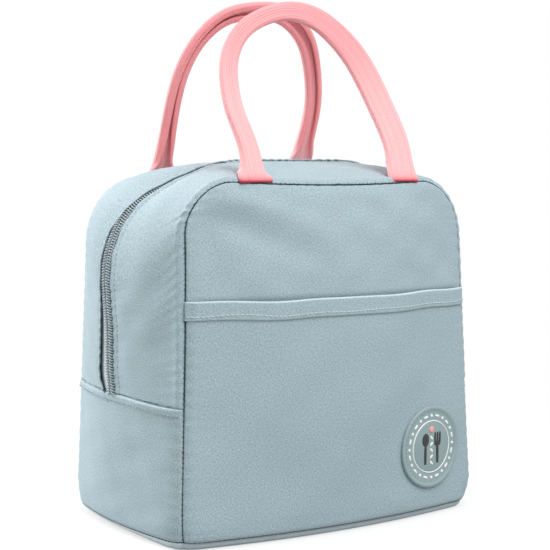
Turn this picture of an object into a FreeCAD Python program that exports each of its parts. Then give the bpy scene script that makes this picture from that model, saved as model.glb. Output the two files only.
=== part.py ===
"""Soft insulated lunch bag: fabric, foam and foil walls, coil zip, webbing handles, slip pocket and badge.

Frame: +Z up, origin on the floor under the middle of the bag, front towards -Y. Millimetres and degrees.
"""
import FreeCAD, Part
import math
import os

import Sketcher

Vector = FreeCAD.Vector

doc = FreeCAD.newDocument("lunch_bag")
sheet = doc.addObject("Spreadsheet::Sheet", "Sizes")

sizes = {
    # Bag outline at the front and back seams, and halfway between them under the zip.
    "seam_width_base": 221,
    "seam_width_top": 198,
    "seam_top": 213,
    "seam_corner": 36,
    "seam_depth": 136,
    "mid_width_base": "=seam_width_base",
    "mid_width_top": 238,
    "mid_top": 225,
    "mid_corner": 62,
    # Bowed front and back walls, which lean together towards the top.
    "bow_radius": 470,
    "bow_reach": 83,
    "bow_lean": 2.9,
    # Wall layers from the outside in.
    "fabric": 0.9,
    "foam": 4,
    "lining": 0.4,
    "layer_gap": 0.1,
    # Levels above the floor, and the slit where the upper front folds away.
    "bottom_seam": 5,
    "hem": 82,
    "fold_gap": 0.3,
    # Zip: fabric edges each side of its centre line, tape and coil.
    "zip_edge_front": 5.2,
    "zip_edge_back": 9,
    "tape": 0.8,
    "tape_reach": 14,
    "tape_half_gap": 1.2,
    "tape_side_gap": 0.3,
    "coil_width": 3,
    "coil_height": 1.8,
    "coil_half_gap": 0.15,
    # Zip slider and pull.
    "slider_rise": 8,
    "slider_length": 15,
    "slider_width": 11.6,
    "slider_plate": 1.3,
    "slider_clear": 0.4,
    "slider_inner_clear": 1.1,
    "slider_lip": 0.9,
    "slider_nose": 6,
    "slider_round": 1.8,
    "slider_edge": 0.4,
    "post_width": 1.6,
    "post_length": 3.5,
    "post_start": 0.6,
    "bridge_width": 3.2,
    "bridge_start": 3,
    "bridge_length": 9,
    "bridge_wall": 1.3,
    "bridge_bore": 2.1,
    "pull_length": 26,
    "pull_width": 7.6,
    "pull_thickness": 1.5,
    "pull_eye_width": 4.2,
    "pull_eye_length": 4.6,
    "pull_round": 2.5,
    "pull_edge": 0.35,
    "pull_clear": 0.3,
    # Slip pocket.
    "pocket_top": 144,
    "pocket_band": 10,
    "pocket_inset": 0.8,
    "pocket_gap": 0.3,
    # Badge on the pocket.
    "badge_diameter": 52,
    "badge_inset": 41,
    "badge_rise": 45,
    "badge_thickness": 1.6,
    "badge_rim": 0.7,
    "badge_rim_width": 2.6,
    "badge_face_diameter": 33,
    "badge_gap": 0.1,
    # Webbing handles.
    "handle_spacing": 109,
    "front_handle_shift": -1.5,
    "back_handle_shift": 7,
    "front_handle_leg": 57.3,
    "back_handle_leg": 66.4,
    "front_handle_lean": 20.5,
    "back_handle_lean": 23.5,
    "handle_clear": 1.1,
    "handle_lift": 1.1,
    "webbing_width": 22,
    "webbing_thickness": 2.4,
    "grip_width": 13,
    "grip_thickness": 6,
    "tab_start": 0.2,
    "tab_length": 10,
    "fold_length": 18,
}
for row, (alias, value) in enumerate(sizes.items(), start=1):
    sheet.set(f"A{row}", alias)
    sheet.set(f"B{row}", str(value))
    sheet.setAlias(f"B{row}", alias)
doc.recompute()


def number(expression):
    """The value that an expression on the sheet has now, as a plain float."""
    value = sheet.evalExpression(expression.replace("Sizes.", ""))
    return float(getattr(value, "Value", value))


def bind(thing, properties):
    for name, expression in properties.items():
        thing.setExpression(name, expression)


def new_body(name):
    return doc.addObject("PartDesign::Body", name)


def new_sketch(body, plane, name, offset):
    """A sketch on one of its body's origin planes; offset binds parts of its AttachmentOffset."""
    sketch = body.newObject("Sketcher::SketchObject", name)
    support = [feature for feature in body.Origin.OriginFeatures if feature.Role == plane][0]
    sketch.AttachmentSupport = [(support, "")]
    sketch.MapMode = "FlatFace"
    bind(sketch, offset)
    return sketch


def constrain(sketch, kind, *where, to=None):
    if to is None:
        return sketch.addConstraint(Sketcher.Constraint(kind, *where))
    start = math.radians(number(to)) if kind == "Angle" else number(to)
    index = sketch.addConstraint(Sketcher.Constraint(kind, *where, start))
    sketch.setExpression(f"Constraints[{index}]", to)
    return index


def polygon(sketch, corners):
    """A closed outline whose corners are pairs of expressions."""
    points = [Vector(number(across), number(along), 0) for across, along in corners]
    first = sketch.GeometryCount
    count = len(points)
    for index, point in enumerate(points):
        sketch.addGeometry(Part.LineSegment(point, points[(index + 1) % count]))
    for index, (across, along) in enumerate(corners):
        edge = first + index
        constrain(sketch, "Coincident", edge, 2, first + (index + 1) % count, 1)
        constrain(sketch, "DistanceX", edge, 1, to=across)
        constrain(sketch, "DistanceY", edge, 1, to=along)


def rectangle(sketch, left, right, low, high):
    polygon(sketch, [(left, low), (right, low), (right, high), (left, high)])


def arch_edges(half_base, half_top, top, corner, start):
    """Line, arc, line, arc and line of an arch, from its left foot over the top to its right foot."""
    turn = math.atan2(top, half_base - half_top)
    run = corner * math.tan(turn / 2)
    slope = Vector(math.cos(turn), math.sin(turn), 0)
    foot = Vector(-half_base, 0, 0) + slope * (start / math.sin(turn))
    left_low = Vector(-half_top, top, 0) - slope * run
    left_high = Vector(-half_top + run, top, 0)

    def mirror(point):
        return Vector(-point.x, point.y, 0)

    axis = Vector(0, 0, 1)
    square = math.pi / 2
    left_circle = Part.Circle(left_high - Vector(0, corner, 0), axis, corner)
    right_circle = Part.Circle(mirror(left_high) - Vector(0, corner, 0), axis, corner)
    return [
        Part.LineSegment(foot, left_low),
        Part.ArcOfCircle(left_circle, square, square + turn),
        Part.LineSegment(left_high, mirror(left_high)),
        Part.ArcOfCircle(right_circle, square - turn, square),
        Part.LineSegment(mirror(left_low), mirror(foot)),
    ]


def arch(sketch, half_base, half_top, top, corner, start, closed):
    """The bag's outline seen from the front: leaning sides, round top corners and a level top.

    half_base and half_top are the sides' places at the floor and at the level of the top.
    """
    foot = f"({half_base}) - ({start}) * (({half_base}) - ({half_top})) / ({top})"
    edges = arch_edges(*[number(size) for size in (half_base, half_top, top, corner, start)])
    sketch.addGeometry(edges)
    constrain(sketch, "Tangent", 0, 2, 1, 2)
    constrain(sketch, "Tangent", 1, 1, 2, 1)
    constrain(sketch, "Tangent", 2, 2, 3, 2)
    constrain(sketch, "Tangent", 3, 1, 4, 1)
    constrain(sketch, "Symmetric", 0, 2, 4, 1, -2)
    constrain(sketch, "Symmetric", 0, 1, 4, 2, -2)
    constrain(sketch, "Horizontal", 2)
    constrain(sketch, "DistanceY", 2, 1, to=top)
    constrain(sketch, "Radius", 1, to=corner)
    constrain(sketch, "Angle", 0, to=f"atan2({top}; ({half_base}) - ({half_top}))")
    constrain(sketch, "DistanceX", 0, 1, to=f"-({foot})")
    constrain(sketch, "DistanceY", 0, 1, to=start)
    if closed:
        sketch.addGeometry(Part.LineSegment(edges[4].EndPoint, edges[0].StartPoint))
        constrain(sketch, "Coincident", 4, 2, 5, 1)
        constrain(sketch, "Coincident", 5, 2, 0, 1)


def box(name, low, high):
    """A block between two corners, each three expressions."""
    block = doc.addObject("Part::Box", name)
    for side, axis, start, end in zip(("Length", "Width", "Height"), "xyz", low, high):
        bind(block, {side: f"({end}) - ({start})", f"Placement.Base.{axis}": start})
    return block


def boolean(kind, name, base, tool):
    result = doc.addObject(f"Part::{kind}", name)
    result.Base = base
    result.Tool = tool
    return result


nodes = []


def node(label, thing):
    thing.Label = label
    nodes.append(thing)
    return thing


# Depths of the layers' faces below the outer face of the bag. The layers lie loosely on one another.
under_fabric = "Sizes.fabric"
foam_face = f"{under_fabric} + Sizes.layer_gap"
under_tape = f"{foam_face} + Sizes.tape"
under_foam = f"{foam_face} + Sizes.foam"
lining_face = f"{under_foam} + Sizes.layer_gap"
inside = f"{lining_face} + Sizes.lining"
reach = "2 * Sizes.bow_reach"
space = "4 * Sizes.bow_reach"

# Crowned block: outlines before the front, under the zip and behind the back, lofted along Y.
overrun = "(Sizes.bow_reach * 1.1 / (Sizes.seam_depth / 2))^2 - 1"


def outline_size(name, at_middle):
    if at_middle:
        return f"Sizes.mid_{name}"
    return f"(Sizes.seam_{name} - ({overrun}) * (Sizes.mid_{name} - Sizes.seam_{name}))"


def crowned_block(name, depth):
    body = new_body(name)
    sketches = []
    for index, place in enumerate((-1, 0, 1)):
        offset = {"AttachmentOffset.Base.z": f"{place} * Sizes.bow_reach * 1.1"}
        sketch = new_sketch(body, "XZ_Plane", f"{name}_outline_{index}", offset)
        base, shoulder, top, corner = [
            outline_size(name, place == 0) for name in ("width_base", "width_top", "top", "corner")
        ]
        arch(
            sketch,
            f"{base} / 2 - ({depth})",
            f"{shoulder} / 2 - ({depth})",
            f"{top} - ({depth})",
            f"max({corner} - ({depth}); Sizes.fabric)",
            f"({depth}) - Sizes.bottom_seam",
            True,
        )
        sketches.append(sketch)
    doc.recompute()
    loft = body.newObject("PartDesign::AdditiveLoft", f"{name}_loft")
    loft.Profile = sketches[0]
    loft.Sections = sketches[1:]
    return body


def bow(name, side, depth):
    """A large drum whose wall is the bowed front (side -1) or back (side 1), depth below its outer face."""
    drum = doc.addObject("Part::Cylinder", name)
    start = "Sizes.bow_reach"
    bind(drum, {
        "Radius": f"Sizes.bow_radius - ({depth})",
        "Height": "3 * Sizes.mid_top",
        "Placement": (
            f"placement(vector(0; {side} * (Sizes.bow_reach - Sizes.bow_radius / cos(Sizes.bow_lean)"
            f" + {start} * sin(Sizes.bow_lean)); -({start}) * cos(Sizes.bow_lean));"
            f" rotation(0; 0; {side} * Sizes.bow_lean))"
        ),
    })
    return drum


fronts = {}
backs = {}
lenses = {}
blocks = {}
for level, depth in (
    ("outer", "0"),
    ("under_fabric", under_fabric),
    ("foam_face", foam_face),
    ("under_tape", under_tape),
    ("under_foam", under_foam),
    ("lining_face", lining_face),
    ("inside", inside),
):
    fronts[level] = bow(f"front_bow_{level}", -1, depth)
    backs[level] = bow(f"back_bow_{level}", 1, depth)
    lenses[level] = boolean("Common", f"lens_{level}", fronts[level], backs[level])
    crowned = crowned_block(f"crowned_{level}", depth)
    walls = boolean("Common", f"walls_{level}", crowned, lenses[level])
    above_floor = box(
        f"above_floor_{level}",
        (f"-({space})", f"-({space})", depth),
        (space, space, f"2 * ({space})"),
    )
    blocks[level] = boolean("Common", f"block_{level}", walls, above_floor)

# Panels of each wall layer: the layer's skin, cut along the seams, the zip and the fold.
fold_low = "Sizes.hem - Sizes.fold_gap / 2"
fold_high = "Sizes.hem + Sizes.fold_gap / 2"


def wall_layer(layer, outer, inner, floor_top, front_edge, back_edge):
    names = {
        "": ("bottom_panel", "{}_side_panel", "front_panel_{}", "back_panel", "{}_gusset"),
        "_foam": ("bottom_foam", "{}_side_foam", "front_foam_{}", "back_foam", "{}_gusset_foam"),
        "_lining": ("bottom_lining", "{}_side_lining", "front_lining_{}", "back_lining", "{}_gusset_lining"),
    }[layer]
    bottom, side, front, back, gusset = names
    skin = boolean("Cut", f"skin{layer}", blocks[outer], blocks[inner])
    ring = boolean("Common", f"ring{layer}", skin, lenses["inside"])
    front_wall = boolean("Cut", f"front_wall{layer}", skin, fronts["inside"])
    back_wall = boolean("Cut", f"back_wall{layer}", skin, backs["inside"])
    low = (f"-({space})", f"-({space})", f"-({reach})")
    high = (space, space, f"2 * ({space})")
    floor_box = box(f"floor_box{layer}", low, (space, space, floor_top))
    node(bottom, boolean("Common", f"bottom{layer}", skin, floor_box))
    low_box = box(f"low_box{layer}", low[:2] + (floor_top,), high[:2] + (fold_low,))
    high_box = box(f"high_box{layer}", low[:2] + (fold_high,), high)
    whole_box = box(f"whole_box{layer}", low[:2] + (floor_top,), high)
    node(front.format("lower"), boolean("Common", f"front_lower{layer}", front_wall, low_box))
    node(front.format("upper"), boolean("Common", f"front_upper{layer}", front_wall, high_box))
    node(back, boolean("Common", f"back{layer}", back_wall, whole_box))
    left_box = box(f"left_box{layer}", low[:2] + (floor_top,), ("0", space, fold_low))
    right_box = box(f"right_box{layer}", ("0", low[1], floor_top), high[:2] + (fold_low,))
    node(side.format("left"), boolean("Common", f"left{layer}", ring, left_box))
    node(side.format("right"), boolean("Common", f"right{layer}", ring, right_box))
    front_box = box(f"front_box{layer}", low[:2] + (fold_high,), (space, f"-({front_edge})", high[2]))
    back_box = box(f"back_box{layer}", (low[0], back_edge, fold_high), high)
    node(gusset.format("front"), boolean("Common", f"front_strip{layer}", ring, front_box))
    node(gusset.format("back"), boolean("Common", f"back_strip{layer}", ring, back_box))


foam_edge = "Sizes.tape_reach + Sizes.tape_side_gap"
wall_layer("", "outer", "under_fabric", "Sizes.bottom_seam", "Sizes.zip_edge_front", "Sizes.zip_edge_back")
wall_layer("_foam", "foam_face", "under_foam", under_foam, foam_edge, foam_edge)
wall_layer("_lining", "lining_face", "inside", inside, "Sizes.tape_reach", "Sizes.tape_reach")

# Zip tapes lie under the fabric edges, and the coils stand on the tapes.
tape_skin = boolean("Cut", "tape_skin", blocks["foam_face"], blocks["under_tape"])
tape_ring = boolean("Common", "tape_ring", tape_skin, lenses["inside"])
middle = {
    "half_base": f"Sizes.mid_width_base / 2 - ({foam_face})",
    "half_top": f"Sizes.mid_width_top / 2 - ({foam_face})",
    "top": f"Sizes.mid_top - ({foam_face})",
    "corner": f"Sizes.mid_corner - ({foam_face})",
}
side_turn = f"atan2(({middle['half_base']}) - ({middle['half_top']}); {middle['top']})"


def side_place(rise):
    """Half width of the tape's outer face at a height, on the straight stretch of the sides."""
    return (
        f"(({middle['half_base']}) - ({rise}) * (({middle['half_base']}) - ({middle['half_top']}))"
        f" / ({middle['top']}))"
    )


# The right ends of the coils stop above the slider's post, where the slider waits.
slider_foot = "Sizes.hem + Sizes.slider_rise"
chain_end = f"{slider_foot} + Sizes.post_start + Sizes.post_length + Sizes.slider_clear"
chain_box = box("chain_box", ("0", f"-({space})", "0"), (space, space, chain_end))

for name, sign in (("front", -1), ("back", 1)):
    edges = sorted([f"{sign} * Sizes.tape_half_gap", f"{sign} * Sizes.tape_reach"], key=number)
    strip_box = box(
        f"tape_box_{name}",
        (f"-({space})", edges[0], fold_high),
        (space, edges[1], f"2 * ({space})"),
    )
    node(f"zip_tape_{name}", boolean("Common", f"tape_{name}", tape_ring, strip_box))

    coil = new_body(f"coil_{name}")
    spine = new_sketch(coil, "XZ_Plane", f"coil_spine_{name}", {})
    arch(spine, middle["half_base"], middle["half_top"], middle["top"], middle["corner"], fold_high, False)
    section = new_sketch(coil, "XY_Plane", f"coil_section_{name}", {
        "AttachmentOffset": f"placement(vector(-{side_place(fold_high)}; 0; {fold_high});"
        f" rotation(90; 0; {side_turn}))",
    })
    near = f"{sign} * Sizes.coil_half_gap"
    far = f"{sign} * (Sizes.coil_half_gap + Sizes.coil_width)"
    rectangle(section, *sorted([near, far], key=number), "0", "Sizes.coil_height")
    doc.recompute()
    pipe = coil.newObject("PartDesign::AdditivePipe", f"coil_pipe_{name}")
    pipe.Profile = section
    pipe.Spine = (spine, [f"Edge{index + 1}" for index in range(5)])
    node(f"zip_coil_{name}", boolean("Cut", f"coil_cut_{name}", coil, chain_box))

# Slip pocket: a skin just outside the bowed front, hemmed with a band along its top.
pocket_face = "Sizes.pocket_gap + Sizes.fabric"
band_face = "Sizes.pocket_gap + 2 * Sizes.fabric"
band_low = "Sizes.pocket_top - Sizes.pocket_band"
pocket_back = bow("pocket_back", -1, "-Sizes.pocket_gap")
pocket_skin = boolean("Cut", "pocket_skin", bow("pocket_front", -1, f"-({pocket_face})"), pocket_back)
band_skin = boolean("Cut", "band_skin", bow("band_front", -1, f"-({band_face})"), pocket_back)


def seam_half(rise):
    """Half width between the front seams at a height."""
    taper = "(Sizes.seam_width_base - Sizes.seam_width_top) / Sizes.seam_top"
    return f"((Sizes.seam_width_base - ({rise}) * {taper}) / 2)"


def pocket_piece(label, skin, low, high):
    body = new_body(f"{label}_outline")
    sketch = new_sketch(body, "XZ_Plane", f"{label}_sketch", {})
    low_half = f"({seam_half(low)}) - Sizes.pocket_inset"
    high_half = f"({seam_half(high)}) - Sizes.pocket_inset"
    polygon(sketch, [(f"-({low_half})", low), (low_half, low), (high_half, high), (f"-({high_half})", high)])
    doc.recompute()
    pad = body.newObject("PartDesign::Pad", f"{label}_pad")
    pad.Profile = sketch
    bind(pad, {"Length": reach})
    node(label, boolean("Common", f"{label}_piece", skin, body))


pocket_piece("pocket_panel_lower", pocket_skin, "Sizes.bottom_seam", fold_low)
pocket_piece("pocket_panel_upper", pocket_skin, fold_high, band_low)
pocket_piece("pocket_band", band_skin, band_low, "Sizes.pocket_top")

# Badge: a rubber disc that follows the bowed pocket, with a raised rim and a raised middle.
badge_side = f"({seam_half('Sizes.badge_rise')} - Sizes.badge_inset)"
badge_turn = f"asin({badge_side} / Sizes.bow_radius)"
badge_back = f"{pocket_face} + Sizes.badge_gap"
badge_top = f"{badge_back} + Sizes.badge_thickness"
badge_proud = f"{badge_top} + Sizes.badge_rim"


def badge_drum(name, diameter):
    """A drum square to the front where the badge sits."""
    drum = doc.addObject("Part::Cylinder", name)
    front_place = (
        "Sizes.bow_reach - Sizes.badge_rise * tan(Sizes.bow_lean)"
        f" - Sizes.bow_radius + sqrt(Sizes.bow_radius^2 - {badge_side}^2)"
    )
    bind(drum, {
        "Radius": f"({diameter}) / 2",
        "Height": "Sizes.badge_diameter",
        "Placement": (
            f"placement(vector({badge_side} - Sizes.badge_diameter / 2 * sin({badge_turn});"
            f" -({front_place}) + Sizes.badge_diameter / 2 * cos({badge_turn}); Sizes.badge_rise);"
            f" rotation({badge_turn}; 0; 90))"
        ),
    })
    return drum


badge_low = bow("badge_low", -1, f"-({badge_back})")
badge_mid = bow("badge_mid", -1, f"-({badge_top})")
badge_high = bow("badge_high", -1, f"-({badge_proud})")
badge_disc = badge_drum("badge_disc", "Sizes.badge_diameter")
badge_hole = badge_drum("badge_hole", "Sizes.badge_diameter - 2 * Sizes.badge_rim_width")
badge_core = badge_drum("badge_core", "Sizes.badge_face_diameter")
base_skin = boolean("Cut", "badge_base_skin", badge_mid, badge_low)
rim_skin = boolean("Cut", "badge_rim_skin", badge_high, badge_low)
face_skin = boolean("Cut", "badge_face_skin", badge_high, badge_mid)
badge_ring = boolean("Cut", "badge_ring", badge_disc, badge_hole)
badge_plate = boolean("Common", "badge_plate", base_skin, badge_disc)
badge_rim = boolean("Common", "badge_rim", rim_skin, badge_ring)
node("badge", boolean("Fuse", "badge_whole", badge_plate, badge_rim))
node("badge_face", boolean("Common", "badge_middle", face_skin, badge_core))

# Handles: webbing, flat where it is sewn into the seam and folded lengthwise in the grip.
tab_top = "Sizes.tab_start + Sizes.tab_length"
grip_start = f"{tab_top} + Sizes.fold_length"


def webbing_section(body, name, leg, rise, width, thickness):
    """A flat band's section with its corners taken off, across one leg at a height."""
    sketch = new_sketch(body, "XY_Plane", name, {"AttachmentOffset.Base.z": rise})
    centre = f"{leg} * Sizes.handle_spacing / 2"
    corner = f"({thickness}) / 4"
    wide, narrow = f"({width}) / 2", f"(({width}) / 2 - {corner})"
    thick, thin = f"({thickness}) / 2", f"({thickness}) / 4"
    polygon(sketch, [
        (f"{centre} + {across}", along)
        for across, along in (
            (f"-1 * {narrow}", f"-({thick})"),
            (narrow, f"-({thick})"),
            (wide, f"-({thin})"),
            (wide, thin),
            (narrow, thick),
            (f"-1 * {narrow}", thick),
            (f"-1 * {wide}", thin),
            (f"-1 * {wide}", f"-({thin})"),
        )
    ])
    return sketch


def handle_foot(name):
    """How far out and how high a handle's feet stand, just clear of the wall at its inner leg's edge."""
    inner_edge = f"((Sizes.handle_spacing - Sizes.webbing_width) / 2 - abs(Sizes.{name}_shift))"
    wall = (
        "(Sizes.bow_reach - Sizes.seam_top * tan(Sizes.bow_lean)"
        f" - {inner_edge}^2 / (2 * Sizes.bow_radius))"
    )
    crown = f"(Sizes.mid_top - Sizes.seam_top) * ({wall} / (Sizes.seam_depth / 2))^2"
    return f"({wall} + Sizes.handle_clear)", f"(Sizes.mid_top - {crown} + Sizes.handle_lift)"


def handle(name, yaw):
    leg_length = f"Sizes.{name}_leg"
    lean = f"Sizes.{name}_lean"
    out, up = handle_foot(name)
    body = new_body(f"{name}_webbing")
    spine = new_sketch(body, "XZ_Plane", f"{name}_spine", {})
    half = number("Sizes.handle_spacing / 2")
    leg = number(leg_length)
    low = number(grip_start)
    spine.addGeometry([
        Part.LineSegment(Vector(-half, low, 0), Vector(-half, leg, 0)),
        Part.ArcOfCircle(Part.Circle(Vector(0, leg, 0), Vector(0, 0, 1), half), 0, math.pi),
        Part.LineSegment(Vector(half, leg, 0), Vector(half, low, 0)),
    ])
    constrain(spine, "Tangent", 0, 2, 1, 2)
    constrain(spine, "Tangent", 1, 1, 2, 1)
    constrain(spine, "Vertical", 0)
    constrain(spine, "Vertical", 2)
    constrain(spine, "PointOnObject", 1, 3, -2)
    constrain(spine, "DistanceX", 0, 1, to="-Sizes.handle_spacing / 2")
    constrain(spine, "DistanceY", 0, 1, to=grip_start)
    constrain(spine, "DistanceY", 1, 3, to=leg_length)
    constrain(spine, "DistanceY", 2, 2, to=grip_start)
    flat = ("Sizes.webbing_width", "Sizes.webbing_thickness")
    folded = ("Sizes.grip_width", "Sizes.grip_thickness")
    grip = webbing_section(body, f"{name}_grip", -1, grip_start, *folded)
    doc.recompute()
    pipe = body.newObject("PartDesign::AdditivePipe", f"{name}_arch")
    pipe.Profile = grip
    pipe.Spine = (spine, ["Edge1", "Edge2", "Edge3"])
    for side, leg_side in (("left", -1), ("right", 1)):
        upper = webbing_section(body, f"{name}_{side}_upper", leg_side, grip_start, *folded)
        lower = webbing_section(body, f"{name}_{side}_lower", leg_side, tab_top, *flat)
        end = webbing_section(body, f"{name}_{side}_end", leg_side, "Sizes.tab_start", *flat)
        doc.recompute()
        fold = body.newObject("PartDesign::AdditiveLoft", f"{name}_{side}_fold")
        fold.Profile = upper
        fold.Sections = [lower]
        fold.Ruled = True
        tab = body.newObject("PartDesign::Pad", f"{name}_{side}_tab")
        tab.Profile = end
        bind(tab, {"Length": "Sizes.tab_length"})
    bind(body, {
        "Placement": f"placement(vector(Sizes.{name}_shift; {1 if yaw else -1} * {out}; {up});"
        f" rotation({yaw}; 0; -{lean}))",
    })
    node(name, body)


handle("front_handle", 0)
handle("back_handle", 180)

# Slider in its own frame: X out from the tape's outer face, Z up along the zip from the slider's nose.
plate_in = "Sizes.coil_height + Sizes.slider_clear"
plate_out = f"{plate_in} + Sizes.slider_plate"
back_in = "-Sizes.tape - Sizes.slider_inner_clear"
back_out = f"{back_in} - Sizes.slider_plate"
lip_in = f"{foam_face} + Sizes.slider_clear"
half_nose = "Sizes.slider_width / 2"
half_tail = "(Sizes.coil_half_gap + Sizes.coil_width + Sizes.slider_clear + Sizes.slider_lip)"
taper = f"(({half_nose} - {half_tail}) / (Sizes.slider_length - Sizes.slider_nose))"
slider = new_body("slider_body")


def slider_block(name, outline, inner, outer):
    """A block of the slider with an outline across and along the zip, between two depths."""
    sketch = new_sketch(slider, "YZ_Plane", f"{name}_sketch", {"AttachmentOffset.Base.z": inner})
    polygon(sketch, outline)
    doc.recompute()
    pad = slider.newObject("PartDesign::Pad", f"{name}_pad")
    pad.Profile = sketch
    bind(pad, {"Length": f"({outer}) - ({inner})"})
    doc.recompute()
    return pad


def rounded(base, name, radius, wanted):
    """Rounds the edges of a feature whose two ends both fit the given test."""
    edges = [
        f"Edge{index}"
        for index, edge in enumerate(base.Shape.Edges, start=1)
        if len(edge.Vertexes) == 2 and wanted(*[vertex.Point for vertex in edge.Vertexes])
    ]
    fillet = base.getParentGeoFeatureGroup().newObject("PartDesign::Fillet", name)
    fillet.Base = (base, edges)
    bind(fillet, {"Radius": radius})
    doc.recompute()
    return fillet


def near(value, size):
    return abs(value - number(size)) < 1e-4


def lying_at(depth):
    """Test for an edge whose ends both lie at one depth."""
    return lambda start, end: near(start.x, depth) and near(end.x, depth)


def slider_plate(name, inner, outer, face):
    """A plate that is wide at the nose and tapers to the tail, with round corners and a softened face."""
    plate = slider_block(
        name,
        [
            (f"-{half_nose}", "0"),
            (half_nose, "0"),
            (half_nose, "Sizes.slider_nose"),
            (half_tail, "Sizes.slider_length"),
            (f"-{half_tail}", "Sizes.slider_length"),
            (f"-{half_nose}", "Sizes.slider_nose"),
        ],
        inner,
        outer,
    )

    def corner(start, end):
        shallow, deep = sorted([start.x, end.x])
        at_end = near(start.z, "0") or near(start.z, "Sizes.slider_length")
        return at_end and near(shallow, inner) and near(deep, outer)

    plate = rounded(plate, f"{name}_corners", "Sizes.slider_round", corner)
    return rounded(plate, f"{name}_face", "Sizes.slider_edge", lying_at(face))


slider_plate("front_plate", plate_in, plate_out, plate_out)
post_end = "Sizes.post_start + Sizes.post_length"
half_post = "Sizes.post_width / 2"
slider_block(
    "post",
    [
        (f"-{half_post}", "Sizes.post_start"),
        (half_post, "Sizes.post_start"),
        (half_post, f"{post_end} - Sizes.post_width"),
        ("0", post_end),
        (f"-{half_post}", f"{post_end} - Sizes.post_width"),
    ],
    back_out,
    plate_in,
)
slider_plate("back_plate", back_out, back_in, back_out)
lip_end = "Sizes.slider_length - Sizes.slider_round"
half_lip_end = f"({half_tail} + Sizes.slider_round * {taper})"
for name, sign in (("front_lip", -1), ("back_lip", 1)):
    slider_block(
        name,
        [
            (f"{sign} * ({across})", along)
            for across, along in (
                (f"{half_nose} - Sizes.slider_lip", "Sizes.slider_round"),
                (half_nose, "Sizes.slider_round"),
                (half_nose, "Sizes.slider_nose"),
                (half_lip_end, lip_end),
                (f"{half_lip_end} - Sizes.slider_lip", lip_end),
                (f"{half_nose} - Sizes.slider_lip", "Sizes.slider_nose"),
            )
        ],
        lip_in,
        plate_in,
    )

bridge_side = {"AttachmentOffset.Base.z": "-Sizes.bridge_width / 2"}
bridge = new_sketch(slider, "XZ_Plane", "bridge_sketch", bridge_side)
bridge_out = f"{plate_out} + Sizes.bridge_bore + Sizes.bridge_wall"
bridge_end = "Sizes.bridge_start + Sizes.bridge_length"
polygon(bridge, [
    (plate_out, "Sizes.bridge_start"),
    (f"{bridge_out} - Sizes.bridge_wall", "Sizes.bridge_start"),
    (bridge_out, "Sizes.bridge_start + Sizes.bridge_wall"),
    (bridge_out, f"{bridge_end} - Sizes.bridge_wall"),
    (f"{bridge_out} - Sizes.bridge_wall", bridge_end),
    (plate_out, bridge_end),
    (plate_out, f"{bridge_end} - Sizes.bridge_wall"),
    (f"{plate_out} + Sizes.bridge_bore", f"{bridge_end} - Sizes.bridge_wall"),
    (f"{plate_out} + Sizes.bridge_bore", "Sizes.bridge_start + Sizes.bridge_wall"),
    (plate_out, "Sizes.bridge_start + Sizes.bridge_wall"),
])
doc.recompute()
bridge_pad = slider.newObject("PartDesign::Pad", "bridge_pad")
bridge_pad.Profile = bridge
bind(bridge_pad, {"Length": "Sizes.bridge_width"})
slider_turn = f"-({side_turn})"
bind(slider, {
    "Placement": f"placement(vector({side_place(slider_foot)}; 0; {slider_foot});"
    f" rotation(0; {slider_turn}; 0))",
})
node("zip_slider", slider)

# Pull: a plate that hangs from its round eye bar under the slider's bridge.
eye_out = f"({plate_out} + Sizes.bridge_bore / 2)"
eye_up = "(Sizes.bridge_start + Sizes.bridge_wall + Sizes.pull_thickness / 2 + Sizes.pull_clear)"
pull = new_body("pull_body")
half_pull = "Sizes.pull_width / 2"
half_eye = "Sizes.pull_eye_width / 2"
plate = new_sketch(pull, "YZ_Plane", "pull_sketch", {"AttachmentOffset.Base.z": "-Sizes.pull_thickness / 2"})
polygon(plate, [
    (f"-{half_pull}", "0"),
    (f"-{half_pull}", "-Sizes.pull_length"),
    (half_pull, "-Sizes.pull_length"),
    (half_pull, "0"),
    (half_eye, "0"),
    (half_eye, "-Sizes.pull_eye_length"),
    (f"-{half_eye}", "-Sizes.pull_eye_length"),
    (f"-{half_eye}", "0"),
])
doc.recompute()
pull_pad = pull.newObject("PartDesign::Pad", "pull_pad")
pull_pad.Profile = plate
bind(pull_pad, {"Length": "Sizes.pull_thickness"})
doc.recompute()


def pull_corner(start, end):
    at_tip = near(start.z, "-Sizes.pull_length") and near(end.z, "-Sizes.pull_length")
    return at_tip and abs(start.y - end.y) < abs(start.x - end.x)


pull_tip = rounded(pull_pad, "pull_tip", "Sizes.pull_round", pull_corner)
rounded(pull_tip, "pull_rim", "Sizes.pull_edge", lying_at("Sizes.pull_thickness / 2"))
eye = new_sketch(pull, "XZ_Plane", "eye_sketch", {"AttachmentOffset.Base.z": f"-{half_pull}"})
eye.addGeometry(Part.Circle(Vector(0, 0, 0), Vector(0, 0, 1), number("Sizes.pull_thickness / 2")))
constrain(eye, "Coincident", 0, 3, -1, 1)
constrain(eye, "Radius", 0, to="Sizes.pull_thickness / 2")
doc.recompute()
eye_pad = pull.newObject("PartDesign::Pad", "eye_pad")
eye_pad.Profile = eye
bind(eye_pad, {"Length": "Sizes.pull_width"})
bind(pull, {
    "Placement": (
        f"placement(vector({side_place(slider_foot)}"
        f" + {eye_out} * cos({slider_turn}) + {eye_up} * sin({slider_turn});"
        f" 0; {slider_foot} + {eye_up} * cos({slider_turn}) - {eye_out} * sin({slider_turn}));"
        f" rotation(0; {slider_turn}; 0))"
    ),
})
node("zip_pull", pull)

doc.recompute()
failed = [thing.Name for thing in doc.Objects if {"Invalid", "Error"} & set(thing.State)]
if failed:
    raise RuntimeError(f"these features failed: {failed}")
for piece in nodes:
    if piece.Shape.isNull() or not piece.Shape.isValid():
        raise RuntimeError(f"{piece.Label} has no valid shape")
    print(piece.Label, len(piece.Shape.Solids), round(piece.Shape.Volume, 1))

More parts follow.
